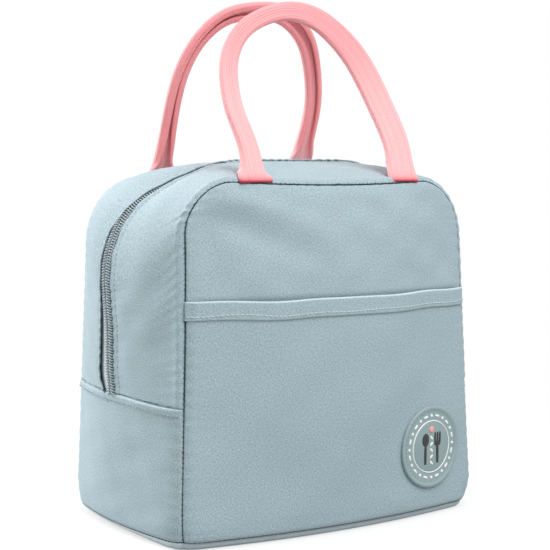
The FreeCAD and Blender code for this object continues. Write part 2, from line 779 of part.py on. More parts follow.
os.makedirs("parts", exist_ok=True)
for piece in nodes:
    piece.Shape.exportStep(f"parts/{piece.Label}.step")
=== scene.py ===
import math

import bpy
import numpy as np
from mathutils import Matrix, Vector


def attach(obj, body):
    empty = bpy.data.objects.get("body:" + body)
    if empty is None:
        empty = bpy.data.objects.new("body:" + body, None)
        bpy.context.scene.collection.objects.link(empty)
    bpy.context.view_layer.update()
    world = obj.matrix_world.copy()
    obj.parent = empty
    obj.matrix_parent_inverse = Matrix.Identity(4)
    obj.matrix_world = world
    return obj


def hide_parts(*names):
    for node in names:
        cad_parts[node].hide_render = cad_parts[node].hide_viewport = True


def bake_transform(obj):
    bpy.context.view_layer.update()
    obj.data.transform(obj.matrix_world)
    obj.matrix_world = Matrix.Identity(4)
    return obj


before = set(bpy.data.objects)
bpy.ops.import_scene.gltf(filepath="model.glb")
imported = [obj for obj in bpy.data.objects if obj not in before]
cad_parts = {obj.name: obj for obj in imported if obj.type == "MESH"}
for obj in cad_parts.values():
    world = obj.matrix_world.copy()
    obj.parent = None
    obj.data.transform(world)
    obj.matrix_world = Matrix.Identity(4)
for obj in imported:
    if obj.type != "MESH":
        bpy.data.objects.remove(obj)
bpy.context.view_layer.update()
print("frame loaded")

# All lengths below are millimetres; meshes are scaled to metres as they are made.
mm = 0.001

bag = dict(
    seamHalfBase=110.8, rightSpread=0.9, seamHalfTop=98.8, seamTop=214, seamDepth=68,
    frontLeftCorner=29, frontRightCorner=33, backCorner=35,
    midHalfBase=110.8, midHalfTop=119.2, midTop=224.8, midCorner=66,
    leftHalfBase=118, leftHalfTop=120, leftCorner=76,
    reach=83, leanSlope=math.tan(math.radians(2.9)), bowRadius=470, bellyHalf=112,
    belly=8.5, bellyGrow=(20, 110), bellyHigh=150, bellyFall=64, bellyPower=2.6,
    backBelly=5, backTop=215, bottomSeam=5, clothThick=0.9,
)
low = bag["bottomSeam"]

# Share of the arch's run that each side and each corner takes; the top has the rest.
sideShare = 0.21
cornerShare = 0.17

# The front half bends away from the tub between these two levels, in metres. A piece given this blend
# only has its place baked in here; this script does not bend it.
mouthBlend = ("tub", "front_half", (0.0, -0.0803, 0.082), (0.0, -0.0803, 0.170))
halves = (("front", -1, {"blendTo": mouthBlend}), ("back", 1, {"body": "tub"}))
ends = (("left", -1), ("right", 1))

# Rounds of halving that settle where two surfaces meet.
settleRounds = 60


class Wire:
    def __init__(self, tree, socket=None):
        self.tree = tree
        self.socket = socket

    def add(self, kind, settings=None, inputs=None, out=0):
        node = self.tree.nodes.new(kind)
        for key, value in (settings or {}).items():
            if key == "stops":
                elements = node.color_ramp.elements
                while len(elements) < len(value):
                    elements.new(0.5)
                for element, (position, colour) in zip(elements, value):
                    element.position = position
                    element.color = (*colour, 1)
            else:
                setattr(node, key, value)
        for key, value in (inputs or {}).items():
            if isinstance(value, Wire):
                self.tree.links.new(value.socket, node.inputs[key])
            else:
                node.inputs[key].default_value = value
        return Wire(self.tree, node.outputs[out] if len(node.outputs) else None)

    def math(self, operation, first, second=0, clamp=False):
        return self.add("ShaderNodeMath", {"operation": operation, "use_clamp": clamp},
                        {0: first, 1: second})

    def __add__(self, other):
        return self.math("ADD", self, other)

    def __sub__(self, other):
        return self.math("SUBTRACT", self, other)

    def __rsub__(self, other):
        return self.math("SUBTRACT", other, self)

    def __mul__(self, other):
        return self.math("MULTIPLY", self, other)

    def __truediv__(self, other):
        return self.math("DIVIDE", self, other)

    __radd__ = __add__
    __rmul__ = __mul__


def gridFaces(rows, columns, wrap=False):
    index = np.arange(rows * columns).reshape(rows, columns)
    if wrap:
        index = np.concatenate([index, index[:, :1]], 1)
    corners = [index[:-1, :-1], index[1:, :-1], index[1:, 1:], index[:-1, 1:]]
    return np.stack(corners, -1).reshape(-1, 4)


def makeObject(name, points, faces, material, body=None, blendTo=None, replaces=(), slot=None,
               values=None, cloth=None, thickness=None, inward=1):
    points = np.asarray(points, float).reshape(-1, 3) * mm
    faces = np.asarray(faces)
    mesh = bpy.data.meshes.new(name)
    mesh.vertices.add(len(points))
    mesh.vertices.foreach_set("co", points.ravel())
    mesh.loops.add(faces.size)
    mesh.loops.foreach_set("vertex_index", faces.ravel())
    mesh.polygons.add(len(faces))
    mesh.polygons.foreach_set("loop_start", np.arange(len(faces)) * faces.shape[1])
    mesh.polygons.foreach_set("use_smooth", np.full(len(faces), True))
    mesh.update(calc_edges=True)
    if cloth is not None:
        flat = np.asarray(cloth, float).reshape(-1, 2) * mm
        layer = mesh.uv_layers.new(name="cloth")
        layer.data.foreach_set("uv", flat[faces.ravel()].ravel())
    for key, value in (values or {}).items():
        mesh.attributes.new(key, "FLOAT", "POINT").data.foreach_set("value", np.ravel(value).astype(float))
    mesh.validate()
    thing = bpy.data.objects.new(name, mesh)
    bpy.context.scene.collection.objects.link(thing)
    mesh.materials.append(material)
    if thickness:
        shell = thing.modifiers.new("cloth", "SOLIDIFY")
        shell.thickness = thickness * mm
        shell.offset = -inward
    if blendTo:
        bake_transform(thing)
    else:
        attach(thing, body)
    if replaces:
        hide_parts(*replaces)
    return thing


# Turns all faces round where they mostly look towards the given middle, or each towards its own.
def outwardFaces(points, faces, middle, outward=True):
    flat = np.asarray(points, float).reshape(-1, 3)
    a, b, c, d = (flat[faces[:, k]] for k in range(4))
    looks = np.sum(np.cross(c - a, d - b) * ((a + c) / 2 - np.asarray(middle)))
    return faces if (looks > 0) == outward else faces[:, ::-1]


# Faces of a tube whose rows are rings, looking away from the rings' middles.
def tubeFaces(points):
    rows, columns = points.shape[:2]
    return outwardFaces(points, gridFaces(rows, columns, True), np.repeat(points[:-1].mean(1), columns, 0))


# Faces that close a ring of points with one point in its middle, two columns to a face.
def poleFaces(ring, pole):
    return np.stack([np.full(len(ring) // 2, pole), ring[::2], np.roll(ring, -1)[::2],
                     np.roll(ring, -2)[::2]], -1)


# A pole is a point that closes the first row, which then runs round it.
def gridPiece(name, points, material, middle=(0, 0, 110), outward=True, wrap=False, pole=None, **more):
    rows, columns = points.shape[:2]
    faces = gridFaces(rows, columns, wrap)
    if pole is not None:
        points = np.concatenate([points.reshape(-1, 3), [pole]])
        faces = np.concatenate([faces, poleFaces(np.arange(columns), rows * columns)])
        values = more.get("values", {})
        more["values"] = {key: np.append(value, np.ravel(value)[0]) for key, value in values.items()}
        if "cloth" in more:
            more["cloth"] = np.concatenate([more["cloth"].reshape(-1, 2), more["cloth"][:1].mean(1)])
    return makeObject(name, points, outwardFaces(points, faces, middle, outward), material, **more)


# Waves of several directions and lengths added together: a smooth, repeatable unevenness of about +-1.
def softWaves(u, v, length, seed):
    maker = np.random.default_rng(seed)
    total = np.zeros(np.broadcast(u, v).shape)
    for _ in range(7):
        angle = maker.uniform(0, 2 * np.pi)
        stretch = maker.uniform(0.65, 1.5) * length
        phase = maker.uniform(0, 2 * np.pi)
        total += np.sin(2 * np.pi * (u * np.cos(angle) + v * np.sin(angle)) / stretch + phase)
    return total / 3


# The same along one line.
def lineWaves(u, length, seed):
    return softWaves(u, 0 * u, length, seed)


# A wave along a line whose beat wanders.
def wanderingWave(u, length, wander, wanderLength, seed):
    return np.sin(2 * np.pi * u / length + wander * lineWaves(u, wanderLength, seed))


# A round swell of height 1: the exponential of minus the squared distance over each spread.
def bump(u, v, u0, v0, spreadU, spreadV, turn=0):
    c, s = np.cos(turn), np.sin(turn)
    a = (u - u0) * c + (v - v0) * s
    b = -(u - u0) * s + (v - v0) * c
    return np.exp(-(a / spreadU) ** 2 - (b / spreadV) ** 2)


# Swells and waves of a slack cloth: bumps are height, place, spreads and turn; waves height, length and seed.
def slack(u, v, shape):
    rise = sum(height * bump(u, v, *where) for height, *where in shape["bumps"])
    return rise + sum(height * softWaves(u, v, length, seed) for height, length, seed in shape["waves"])


# Steps from 0 to 1, crowded towards both ends.
def crowded(count, pull=0.75):
    t = np.linspace(0, 1, count)
    return (1 - pull) * t + pull * (0.5 - 0.5 * np.cos(np.pi * t))


def smoothStep(t):
    t = np.clip(t, 0, 1)
    return t * t * (3 - 2 * t)


# Rises from 0 to 1 over the given length from its start.
def ramp(value, start, over):
    return smoothStep((value - start) / over)


# A ridge of height 1: the exponential of minus the squared distance over the width.
def ridge(value, at, width):
    return np.exp(-((value - at) / width) ** 2)


# Angles of a whole turn.
def wholeTurn(count):
    return np.linspace(0, 2 * np.pi, count, endpoint=False)


# Falls from 1 to 0 over the reach, with the square of what is left.
def fadeSquare(gap, reach):
    return np.clip(1 - gap / reach, 0, 1) ** 2


def unit(vectors):
    return vectors / np.linalg.norm(vectors, axis=-1, keepdims=True)


# Distance along a line of points from its start.
def lineRun(line):
    return np.concatenate([[0], np.cumsum(np.linalg.norm(np.diff(line, axis=0), axis=1))])


# Points of a line at the given distances.
def atRun(at, run, line):
    return np.stack([np.interp(at, run, line[:, k]) for k in range(line.shape[1])], -1)


# Values of a table along a run of 0 to 1, its corners evened out over the given share of the run.
def tableAt(run, table, even):
    shifts = np.linspace(-even, even, 9)
    return np.mean([np.interp(np.clip(run + shift, 0, 1), *zip(*table)) for shift in shifts], 0)


# Sizes of the arch outline at depth y: each changes with the square of y from the middle to the seams.
# The left side (sign -1) has slumped into a fuller bulge than the right.
def archSizes(y, inset, sign):
    share = (y / bag["seamDepth"]) ** 2
    left = np.maximum(-sign, 0)
    middle = {}
    for key in ("HalfBase", "HalfTop", "Corner"):
        middle[key] = bag["mid" + key] + left * (bag["left" + key] - bag["mid" + key])
    seamBase = bag["seamHalfBase"] + bag["rightSpread"] * np.maximum(sign, 0)
    halfBase = middle["HalfBase"] + (seamBase - middle["HalfBase"]) * share - inset
    halfTop = middle["HalfTop"] + (bag["seamHalfTop"] - middle["HalfTop"]) * share - inset
    top = bag["midTop"] + (bag["seamTop"] - bag["midTop"]) * share - inset
    frontCorner = bag["frontRightCorner"] + left * (bag["frontLeftCorner"] - bag["frontRightCorner"])
    seamCorner = np.where(y < 0, frontCorner, bag["backCorner"])
    corner = middle["Corner"] + (seamCorner - middle["Corner"]) * share - inset
    turn = np.arctan2(top, halfBase - halfTop)
    return halfBase, halfTop, top, corner, turn, corner * np.tan(turn / 2)


# Point of the arch at run s (0 left foot, 1 right foot) and depth y: a leaning side, a round corner, a level
# top and their mirror image. Also the angle of the outward direction from upright, and the side's sign.
def archAt(s, y, lowZ, inset=0):
    t = np.minimum(s, 1 - s)
    sign = np.where(s <= 0.5, -1, 1)
    halfBase, halfTop, top, corner, turn, run = archSizes(y, inset, sign)
    topStart = sideShare + cornerShare
    cornerLow = top - run * np.sin(turn)
    sideZ = lowZ + (cornerLow - lowZ) * np.clip(t / sideShare, 0, 1)
    sideX = halfBase - sideZ / np.tan(turn)
    angle = turn * (1 - np.clip((t - sideShare) / cornerShare, 0, 1))
    cornerX = halfTop - run + corner * np.sin(angle)
    cornerZ = top - corner + corner * np.cos(angle)
    topX = (halfTop - run) * (1 - np.clip((t - topStart) / (0.5 - topStart), 0, 1))
    onSide = t < sideShare
    onTop = t > topStart
    x = np.where(onSide, sideX, np.where(onTop, topX, cornerX))
    z = np.where(onSide, sideZ, np.where(onTop, top, cornerZ))
    return sign * x, z, np.where(onTop, 0, angle), sign


# Depth of the bowed front (side -1) or back (side 1) wall: a leaning drum with a soft belly, which on the
# front grows up to the pocket's mouth and falls back to the top seam.
def wallY(x, z, side, inset=0):
    drum = bag["reach"] - z * bag["leanSlope"] - x ** 2 / (2 * bag["bowRadius"])
    grown = ramp(z, *bag["bellyGrow"])
    fallen = np.maximum((z - bag["bellyHigh"]) / bag["bellyFall"], 0) ** bag["bellyPower"]
    front = bag["belly"] * grown * (1 - fallen)
    back = bag["backBelly"] * np.sin(np.pi * np.clip(z / bag["backTop"], 0, 1))
    swell = (front if side < 0 else back) * (1 - (x / bag["bellyHalf"]) ** 2)
    return side * (drum + swell - inset)


# Depth at which the arch at run s meets the wall.
def seamY(s, lowZ, side, inset=0):
    y = np.full(np.shape(s), side * bag["seamDepth"])
    for _ in range(settleRounds):
        x, z, _, _ = archAt(s, y, lowZ, inset)
        y = 0.5 * y + 0.5 * wallY(x, z, side, inset)
    return y


# Half width of the given side at depth y and height z, below the corners.
def sideHalf(y, z, sign, inset=0):
    halfBase, _, _, _, turn, _ = archSizes(y, inset, sign)
    return halfBase - z / np.tan(turn)


# Depth at which the given side meets the back wall at height z; the front meets it alike.
def sideDepth(z, sign, inset=0):
    depth = np.full(z.shape, bag["seamDepth"])
    for _ in range(settleRounds):
        depth = 0.5 * depth + 0.5 * np.abs(wallY(sideHalf(depth, z, sign, inset), z, 1, inset))
    return depth


# Half width of the wall at height z, on the side that u has the sign of.
def wallHalf(z, u, side, inset=0):
    half = np.full(np.broadcast(z, u).shape, bag["seamHalfBase"])
    for _ in range(settleRounds):
        half = sideHalf(wallY(half, z, side, inset), z, np.sign(u), inset)
    return half


# Distance of a point on a wall from the arch outline at its own depth, and the outline's outward angle there.
def archGap(x, y, z, inset=0):
    halfBase, halfTop, top, corner, turn, run = archSizes(y, inset, np.sign(x))
    across = np.abs(x) - (halfTop - run)
    above = z - (top - corner)
    angle = np.arctan2(across, above)
    inCorner = (angle > 0) & (angle < turn) & ((across > 0) | (above > 0))
    sideGap = (halfBase - z / np.tan(turn) - np.abs(x)) * np.sin(turn)
    topGap = top - z
    gap = np.where(inCorner, corner - np.hypot(across, above), np.minimum(sideGap, topGap))
    outAngle = np.where(inCorner, angle, np.where(sideGap < topGap, turn, 0))
    return np.maximum(gap, 0), outAngle


edge = dict(
    radius=8, lowRadius=5, lowFade=30, pull=0.12, depthShare=0.5, valley=0.8, valleyWidth=1.1, near=1.5,
    pucker=0.2, puckerReach=7, puckerWave=(7.5, 1.7, 45), gather=0.55, gatherReach=5,
    gatherWave=(6, 2, 30), gatherFrom=(182, 10), gatherTo=(207, 7), gatherSide=30,
    footPull=0.8, footReach=14, cornerReach=12, calm=16, footCalm=4, catch=5, caught=0.1,
)


# Narrow valley along the stitching of a seam.
def valley(gap):
    return edge["valley"] * ridge(gap, 0, edge["valleyWidth"])


# How far both cloths are drawn in at a seam: a quarter round that fades over the radius, a narrow valley at
# the stitching, small puckers along it and, high on the front's left (gathered), closer gathers.
def seamPull(gap, z, along, seed, fine=1, gathered=0):
    radius = edge["radius"] + edge["lowRadius"] * np.exp(-z / edge["lowFade"])
    body = edge["pull"] * radius * fadeSquare(gap, radius)
    wave = wanderingWave(along, *edge["puckerWave"], seed)
    pucker = edge["pucker"] * wave * np.exp(-gap / edge["puckerReach"])
    where = gathered * ramp(z, *edge["gatherFrom"]) * (1 - ramp(z, *edge["gatherTo"]))
    wave = wanderingWave(along, *edge["gatherWave"], seed + 1)
    gather = edge["gather"] * where * wave * np.exp(-gap / edge["gatherReach"])
    return body + fine * (valley(gap) + (pucker + gather) * np.clip(gap / edge["near"], 0, 1))


# The same at the foot seam, by the height above it.
def footPull(gap, fine=1):
    return fine * valley(gap) + edge["footPull"] * fadeSquare(gap, edge["footReach"])


# How much of the gathers the front's left half has.
def gatheredShare(side, x):
    return (side < 0) * smoothStep(-x / edge["gatherSide"])


# How much of its folds a cloth has near its seams and its foot.
def calmShare(gap, lowGap):
    return smoothStep(np.minimum(gap, lowGap + edge["footCalm"]) / edge["calm"])


footCorner = dict(frontRight=4.6, frontLeft=1.4, back=3.6, height=18, reach=18)


# How far the foot corners are rounded off, in x and in y alike: most at the seam's foot, fading up and along.
def footRound(x, y, z, gap):
    front = np.where(x > 0, footCorner["frontRight"], footCorner["frontLeft"])
    up = np.clip(1 - (z - low) / footCorner["height"], 0, 1)
    along = np.clip(1 - gap / footCorner["reach"], 0, 1)
    return np.where(y < 0, front, footCorner["back"]) * (up * along) ** 2


# Lift of a cloth off the wall, held down near the seam that catches it.
def caughtLift(lift, gap):
    return lift * (edge["caught"] + (1 - edge["caught"]) * smoothStep(gap / edge["catch"]))


# Wall panel between the two side seams and the top seam, or up to highZ: rows climb the seam, columns run
# from seam to seam. The cloth is drawn in at its seams and rises by its lift and folds elsewhere.
def wallGrid(side, lowZ, highZ=None, inset=0, rows=(120, 44), columns=190, lift=0, seed=3, folds=None):
    top = sideShare + cornerShare
    s = np.concatenate([np.linspace(0, sideShare, rows[0])[:-1], np.linspace(sideShare, top, rows[1])])
    leftX, leftZ, _, _ = archAt(s, seamY(s, lowZ, side, inset), lowZ, inset)
    rightX, rightZ, _, _ = archAt(1 - s, seamY(1 - s, lowZ, side, inset), lowZ, inset)
    t = crowded(columns)
    u = 2 * t - 1
    topRun = 0.5 + u * (0.5 - top)
    topX, topZ, _, _ = archAt(topRun, seamY(topRun, lowZ, side, inset), lowZ, inset)
    lead = np.clip((s - sideShare) / cornerShare, 0, 1)[:, None] ** 2
    x = leftX[:, None] * (1 - t) + rightX[:, None] * t
    z = leftZ[:, None] * (1 - t) + rightZ[:, None] * t
    x, z = x + lead * (topX - x[-1]), z + lead * (topZ - z[-1])
    if highZ is not None:
        z = np.repeat(np.linspace(lowZ, highZ, rows[0])[:, None], columns, 1)
        x = wallHalf(z, u, side, inset) * u
    y = wallY(x, z, side, inset)
    gap, angle = archGap(x, y, z, inset)
    onTop, onCorner = angle < 0.3, angle < 1.2
    along = np.where(onTop, x, z)
    fine = 1 if inset == 0 else 0
    pull = seamPull(gap, z, along, seed, fine, gatheredShare(side, x))
    lowGap = np.maximum(z - lowZ, 0)
    lowPull = footPull(lowGap, fine)
    rise = caughtLift(lift, gap) + (folds(x, z) * calmShare(gap, lowGap) if folds else 0)
    cornerPull = lowPull * fadeSquare(gap, edge["cornerReach"])
    rounded = footRound(x, y, z, gap)
    points = np.stack([
        x - np.sign(x) * (np.sin(angle) * pull + cornerPull + rounded),
        y - side * (edge["depthShare"] * pull + lowPull + rounded) + side * rise,
        z - np.cos(angle) * pull * np.where(onCorner, 1, 0),
    ], -1)
    return points, np.stack([x, z], -1), np.minimum(gap, lowGap), np.where(gap < lowGap, along, x)


def newMaterial(name, build):
    material = bpy.data.materials.new(name)
    material.use_nodes = True
    material.node_tree.nodes.clear()
    tree = Wire(material.node_tree)
    surface = build(tree)
    if isinstance(surface, dict):
        surface = tree.add("ShaderNodeBsdfPrincipled", {}, surface)
    tree.add("ShaderNodeOutputMaterial", {}, {"Surface": surface})
    return material


def mixColour(tree, factor, first, second):
    first, second = (colour if isinstance(colour, Wire) else (*colour, 1) for colour in (first, second))
    return tree.add("ShaderNodeMix", {"data_type": "RGBA"}, {0: factor, 6: first, 7: second}, 2)


def attribute(tree, name):
    return tree.add("ShaderNodeAttribute", {"attribute_name": name}, {}, 2)


def objectPlace(tree):
    return tree.add("ShaderNodeTexCoord", {}, {}, 3)


def noise(tree, vector, scale, detail=2, roughness=0.5):
    inputs = {"Vector": vector, "Scale": scale, "Detail": detail, "Roughness": roughness}
    return tree.add("ShaderNodeTexNoise", {}, inputs)


def bumpNormal(tree, strength, distance, height):
    return tree.add("ShaderNodeBump", {}, {"Strength": strength, "Distance": distance, "Height": height})


# Plain weave from the cloth's own lengths: two crossed sets of threads that rise in turn, flecked lighter and
# darker along each thread.
def weave(tree, pitch):
    place = tree.add("ShaderNodeUVMap", {"uv_map": "cloth"})
    u, v = (tree.add("ShaderNodeSeparateXYZ", {}, {0: place}, axis) for axis in (0, 1))
    turn = 2 * math.pi / (pitch * mm)
    height = tree.math("SINE", u * turn) * tree.math("SINE", v * turn) * 0.5 + 0.5
    across, along, shift = 2200, 800, 7
    warp = tree.add("ShaderNodeCombineXYZ", {}, {0: u * across, 1: v * along})
    weft = tree.add("ShaderNodeCombineXYZ", {}, {0: u * along, 1: v * across, 2: shift})
    return height, noise(tree, warp, 1, 2, 0.6), noise(tree, weft, 1, 2, 0.6)


canvasTone = dict(
    pitch=1.45, stops=[(0.32, (0.180, 0.252, 0.285)), (0.50, (0.347, 0.442, 0.482)),
                       (0.68, (0.535, 0.648, 0.690))],
    spot=(0.30, 0.39, 0.43), spotScale=55, spotShare=0.28, paintedLightColour=(0.66, 0.76, 0.79), unevenScale=260,
    seam=(0.040, 0.062, 0.080), seamWidth=0.24, nickWidth=0.36, unevenWidth=0.14, nickPitch=3,
)


# Heathered cloth with faint spots, painted paler as a highlight where the wear attribute says, and a
# dark, nicked line along its seams: partly dark thread, partly painted shade in the seam's crease, and on
# the gusset also a painted shadow above the side hem.
def canvasLook(tree):
    tone = canvasTone
    height, warp, weft = weave(tree, tone["pitch"])
    heather = (warp + weft) * 0.5 + (height - 0.5) * 0.04
    shade = tree.add("ShaderNodeValToRGB", {"stops": tone["stops"]}, {0: heather})
    spots = noise(tree, objectPlace(tree), tone["spotScale"], 4, 0.6)
    shade = mixColour(tree, spots * tone["spotShare"], shade, tone["spot"])
    uneven = noise(tree, objectPlace(tree), tone["unevenScale"], 2, 0.5)
    # Seam line: dark thread and painted shade in the seam's crease, nicked like stitches; the gap attribute
    # also carries the gusset's painted shadow line above the hem.
    nick = tree.math("SINE", attribute(tree, "seamRun") * (2 * math.pi / tone["nickPitch"])) * 0.5 + 0.5
    width = tone["seamWidth"] + nick * nick * tone["nickWidth"] * uneven + tone["unevenWidth"] * uneven
    gap = attribute(tree, "seamGap") / width
    line = tree.math("POWER", math.e, 0 - gap * gap, True)
    dark = tree.math("MULTIPLY", line * 1.3, uneven * 0.5 + 0.75, True)
    # Painted light: paler canvas along folds and edges, standing in for highlights and for light that the
    # downward foot band lacks.
    shade = mixColour(tree, attribute(tree, "wear") * (uneven * 0.6 + 0.5), shade, tone["paintedLightColour"])
    colour = mixColour(tree, dark, shade, tone["seam"])
    normal = bumpNormal(tree, 0.35, 0.0004, height * 0.12 + heather)
    return {"Base Color": colour, "Roughness": 0.92, "Specular IOR Level": 0.12, "Normal": normal,
            "Sheen Weight": 0.12, "Sheen Roughness": 0.5}


def foamLook(tree):
    cells = noise(tree, objectPlace(tree), 900, 2, 0.5)
    return {"Base Color": mixColour(tree, cells, (0.60, 0.60, 0.58), (0.80, 0.80, 0.78)), "Roughness": 0.9}


# Crinkled foil: large creases with fine ones over them.
def liningLook(tree):
    creases = noise(tree, objectPlace(tree), 55, 6, 0.62)
    fine = noise(tree, objectPlace(tree), 260, 3, 0.6)
    normal = bumpNormal(tree, 0.6, 0.002, creases + fine * 0.25)
    return {"Base Color": (0.78, 0.79, 0.80, 1), "Metallic": 0.85, "Roughness": 0.32, "Normal": normal}


# Pale woven tape, with painted shade under the coil where the band attribute says.
def tapeLook(tree):
    height, warp, _ = weave(tree, 0.9)
    pale = mixColour(tree, warp, (0.34, 0.42, 0.45), (0.48, 0.56, 0.59))
    colour = mixColour(tree, attribute(tree, "band"), pale, (0.060, 0.088, 0.105))
    return {"Base Color": colour, "Roughness": 0.85, "Normal": bumpNormal(tree, 0.4, 0.0004, height)}


def coilLook(tree):
    return {"Base Color": (0.40, 0.47, 0.50, 1), "Roughness": 0.7, "Specular IOR Level": 0.25}


def threadLook(tree):
    twist = noise(tree, objectPlace(tree), 1500, 1, 0.5)
    return {"Base Color": mixColour(tree, twist, (0.22, 0.29, 0.32), (0.38, 0.46, 0.49)), "Roughness": 0.7}


# Flecked coral webbing, with painted shade: a deeper coral on its turned-in lips and a dark red where it is
# sewn in and over its top (inner).
def webbingLook(tree):
    height, warp, weft = weave(tree, 0.8)
    flecks = (warp + weft) * 0.5
    colour = mixColour(tree, flecks, (0.96, 0.42, 0.43), (0.98, 0.54, 0.545))
    # Painted shade on the turned-in lips.
    colour = mixColour(tree, attribute(tree, "lip"), colour, (1, 0.34, 0.35))
    # Painted shadow in dark red at the feet and painted shade over the top, where the inner attribute says.
    colour = mixColour(tree, attribute(tree, "inner"), colour, (0.62, 0.07, 0.10))
    normal = bumpNormal(tree, 0.5, 0.0005, height * 0.25 + flecks * 0.5)
    return {"Base Color": colour, "Roughness": 0.8, "Specular IOR Level": 0.2, "Normal": normal,
            "Sheen Weight": 0.15, "Sheen Tint": (1, 0.5, 0.5, 1)}


# One colour, with a fine grain where asked.
def plainLook(colour, roughness, metallic=0, fine=0):
    def build(tree):
        sockets = {"Base Color": (*colour, 1), "Roughness": roughness, "Metallic": metallic}
        if fine:
            grain = noise(tree, objectPlace(tree), 700, 3, 0.6)
            sockets["Normal"] = bumpNormal(tree, fine, 0.0003, grain)
        return sockets
    return build


canvas = newMaterial("canvas", canvasLook)
foam = newMaterial("foam", foamLook)
lining = newMaterial("lining", liningLook)
tapeCloth = newMaterial("zip_tape", tapeLook)
coilPlastic = newMaterial("zip_coil", coilLook)
thread = newMaterial("thread", threadLook)
paleThread = newMaterial("pale_thread", plainLook((0.50, 0.59, 0.62), 0.7))
webbing = newMaterial("webbing", webbingLook)
badgeRubber = newMaterial("badge_rubber", plainLook((0.275, 0.365, 0.375), 0.55, fine=0.25))
badgeFaceRubber = newMaterial("badge_face_rubber", plainLook((0.255, 0.345, 0.345), 0.5, fine=0.2))
whiteRubber = newMaterial("white_rubber", plainLook((0.85, 0.86, 0.85), 0.5, fine=0.15))
blackRubber = newMaterial("black_rubber", plainLook((0.02, 0.022, 0.025), 0.5, fine=0.15))
pinkRubber = newMaterial("pink_rubber", plainLook((0.86, 0.36, 0.38), 0.5, fine=0.15))
sliderMetal = newMaterial("slider_metal", plainLook((0.50, 0.53, 0.55), 0.32, 0.9, fine=0.1))
print("materials made")


# A piece of canvas: gap and along are its distance from the nearest seam and the run along that seam; on
# the gusset, gap also measures to the painted shadow line above the side hem. wear marks painted
# highlights.
def canvasPiece(name, points, cloth, gap, along, wear=None, **more):
    values = {"seamGap": gap, "seamRun": along}
    if wear is not None:
        values["wear"] = wear
    return gridPiece(name, points, canvas, cloth=cloth, values=values, thickness=bag["clothThick"],
                     slot="canvas", **more)


# The front's slack: a dent under the left corner, a fuller middle and a few lazy folds, and a tuck at the
# pocket's mouth.
frontSlack = dict(
    bumps=[(1.8, -52, 199, 34, 8, -0.39), (-3.4, -64, 184, 34, 9, -0.39),
           (-2.6, -92, 180, 15, 16), (-1.2, 80, 172, 20, 22)],
    waves=[(0.8, 75, 11), (0.35, 30, 12)], grow=(132, 30), tuck=1.3, tuckAt=(142.5, 2.1),
)
# The back's slack has a dent under each foot of the back handle, so that the handle can swing down.
backSlack = dict(
    bumps=[(-1.5, 70, 165, 28, 30), (-3.6, -50, 206, 17, 9), (-3.6, 61, 206, 17, 9)],
    waves=[(0.9, 90, 31), (0.35, 34, 32)],
)


def frontFolds(x, z):
    tuck = frontSlack["tuck"] * ridge(z, *frontSlack["tuckAt"])
    return slack(x, z, frontSlack) * ramp(z, *frontSlack["grow"]) - tuck


def backFolds(x, z):
    return slack(x, z, backSlack)


feet = {}
wallNodes = {"front": ("front_panel_lower", "front_panel_upper"), "back": ("back_panel",)}
for (label, side, more), folds, seed in zip(halves, (frontFolds, backFolds), (3, 4)):
    points, cloth, gap, along = wallGrid(side, low, folds=folds, seed=seed)
    feet[label] = points[0]
    canvasPiece(label + "_cloth", points, cloth, gap, along, replaces=wallNodes[label], **more)

sidePanel = dict(
    top=82.4, lift=0.3, hemLift=0.8, hemFold=(4.2, 1.6), lipDrop=0.9, lipWidth=0.6, hemRise=2.4,
    hemClimb=(-75, 70), hemFrom=(30, 50), rows=64, columns=90, crowd=0.6, catch=5, caught=0.1,
    seed=8, wear=0.4, wearWidth=0.8, bumps=[], waves=[(0.6, 60, 41), (0.25, 24, 42)],
)


# Height of the side panel's hem, which climbs from front to back.
def hemTop(y):
    return sidePanel["top"] + sidePanel["hemRise"] * ramp(y, *sidePanel["hemClimb"])


# Side panel below its hem: rows climb, columns run from front seam to back seam. The hem stands proud by its
# lift and drops off at its lip.
def sideGrid(sign):
    panel = sidePanel
    z = low + (panel["top"] - low) * crowded(panel["rows"], panel["crowd"])
    v = 2 * crowded(panel["columns"]) - 1
    y = sideDepth(z, sign)[:, None] * v
    z = np.repeat(z[:, None], len(v), 1)
    x = sideHalf(y, z, sign)
    gap = np.abs(np.abs(y) - np.abs(wallY(x, z, 1)))
    lowGap = z - low
    topGap = panel["top"] - z
    pull = seamPull(gap, z, z, panel["seed"])
    lowPull = footPull(lowGap)
    rise = panel["lift"] + panel["hemLift"] * (1 - ramp(topGap, *panel["hemFold"]))
    rise = rise - panel["lipDrop"] * ridge(topGap, 0, panel["lipWidth"])
    rise = rise + calmShare(gap, lowGap) * slack(y, z, panel)
    hemRise = (hemTop(y) - panel["top"]) * ramp(z, *panel["hemFrom"])
    cornerPull = lowPull * fadeSquare(gap, edge["cornerReach"])
    rounded = footRound(sign, y, z, gap)
    held = smoothStep(gap / panel["catch"] + panel["caught"])
    points = np.stack([
        sign * (x + rise * held - pull - lowPull - rounded),
        y - np.sign(y) * (edge["depthShare"] * pull + cornerPull + rounded),
        z + hemRise,
    ], -1)
    # Painted highlight along the hem's top fold.
    wear = panel["wear"] * ridge(topGap, 0, panel["wearWidth"])
    return points, np.stack([y, z], -1), np.minimum(gap, lowGap), np.where(gap < lowGap, z, y), wear


sideStrip = {}
for label, sign in ends:
    points, cloth, gap, along, wear = sideGrid(sign)
    sideStrip[label] = points
    canvasPiece(label + "_side_cloth", points, cloth, gap, along, wear, body="tub",
                replaces=(label + "_side_panel",))
print("panels made")

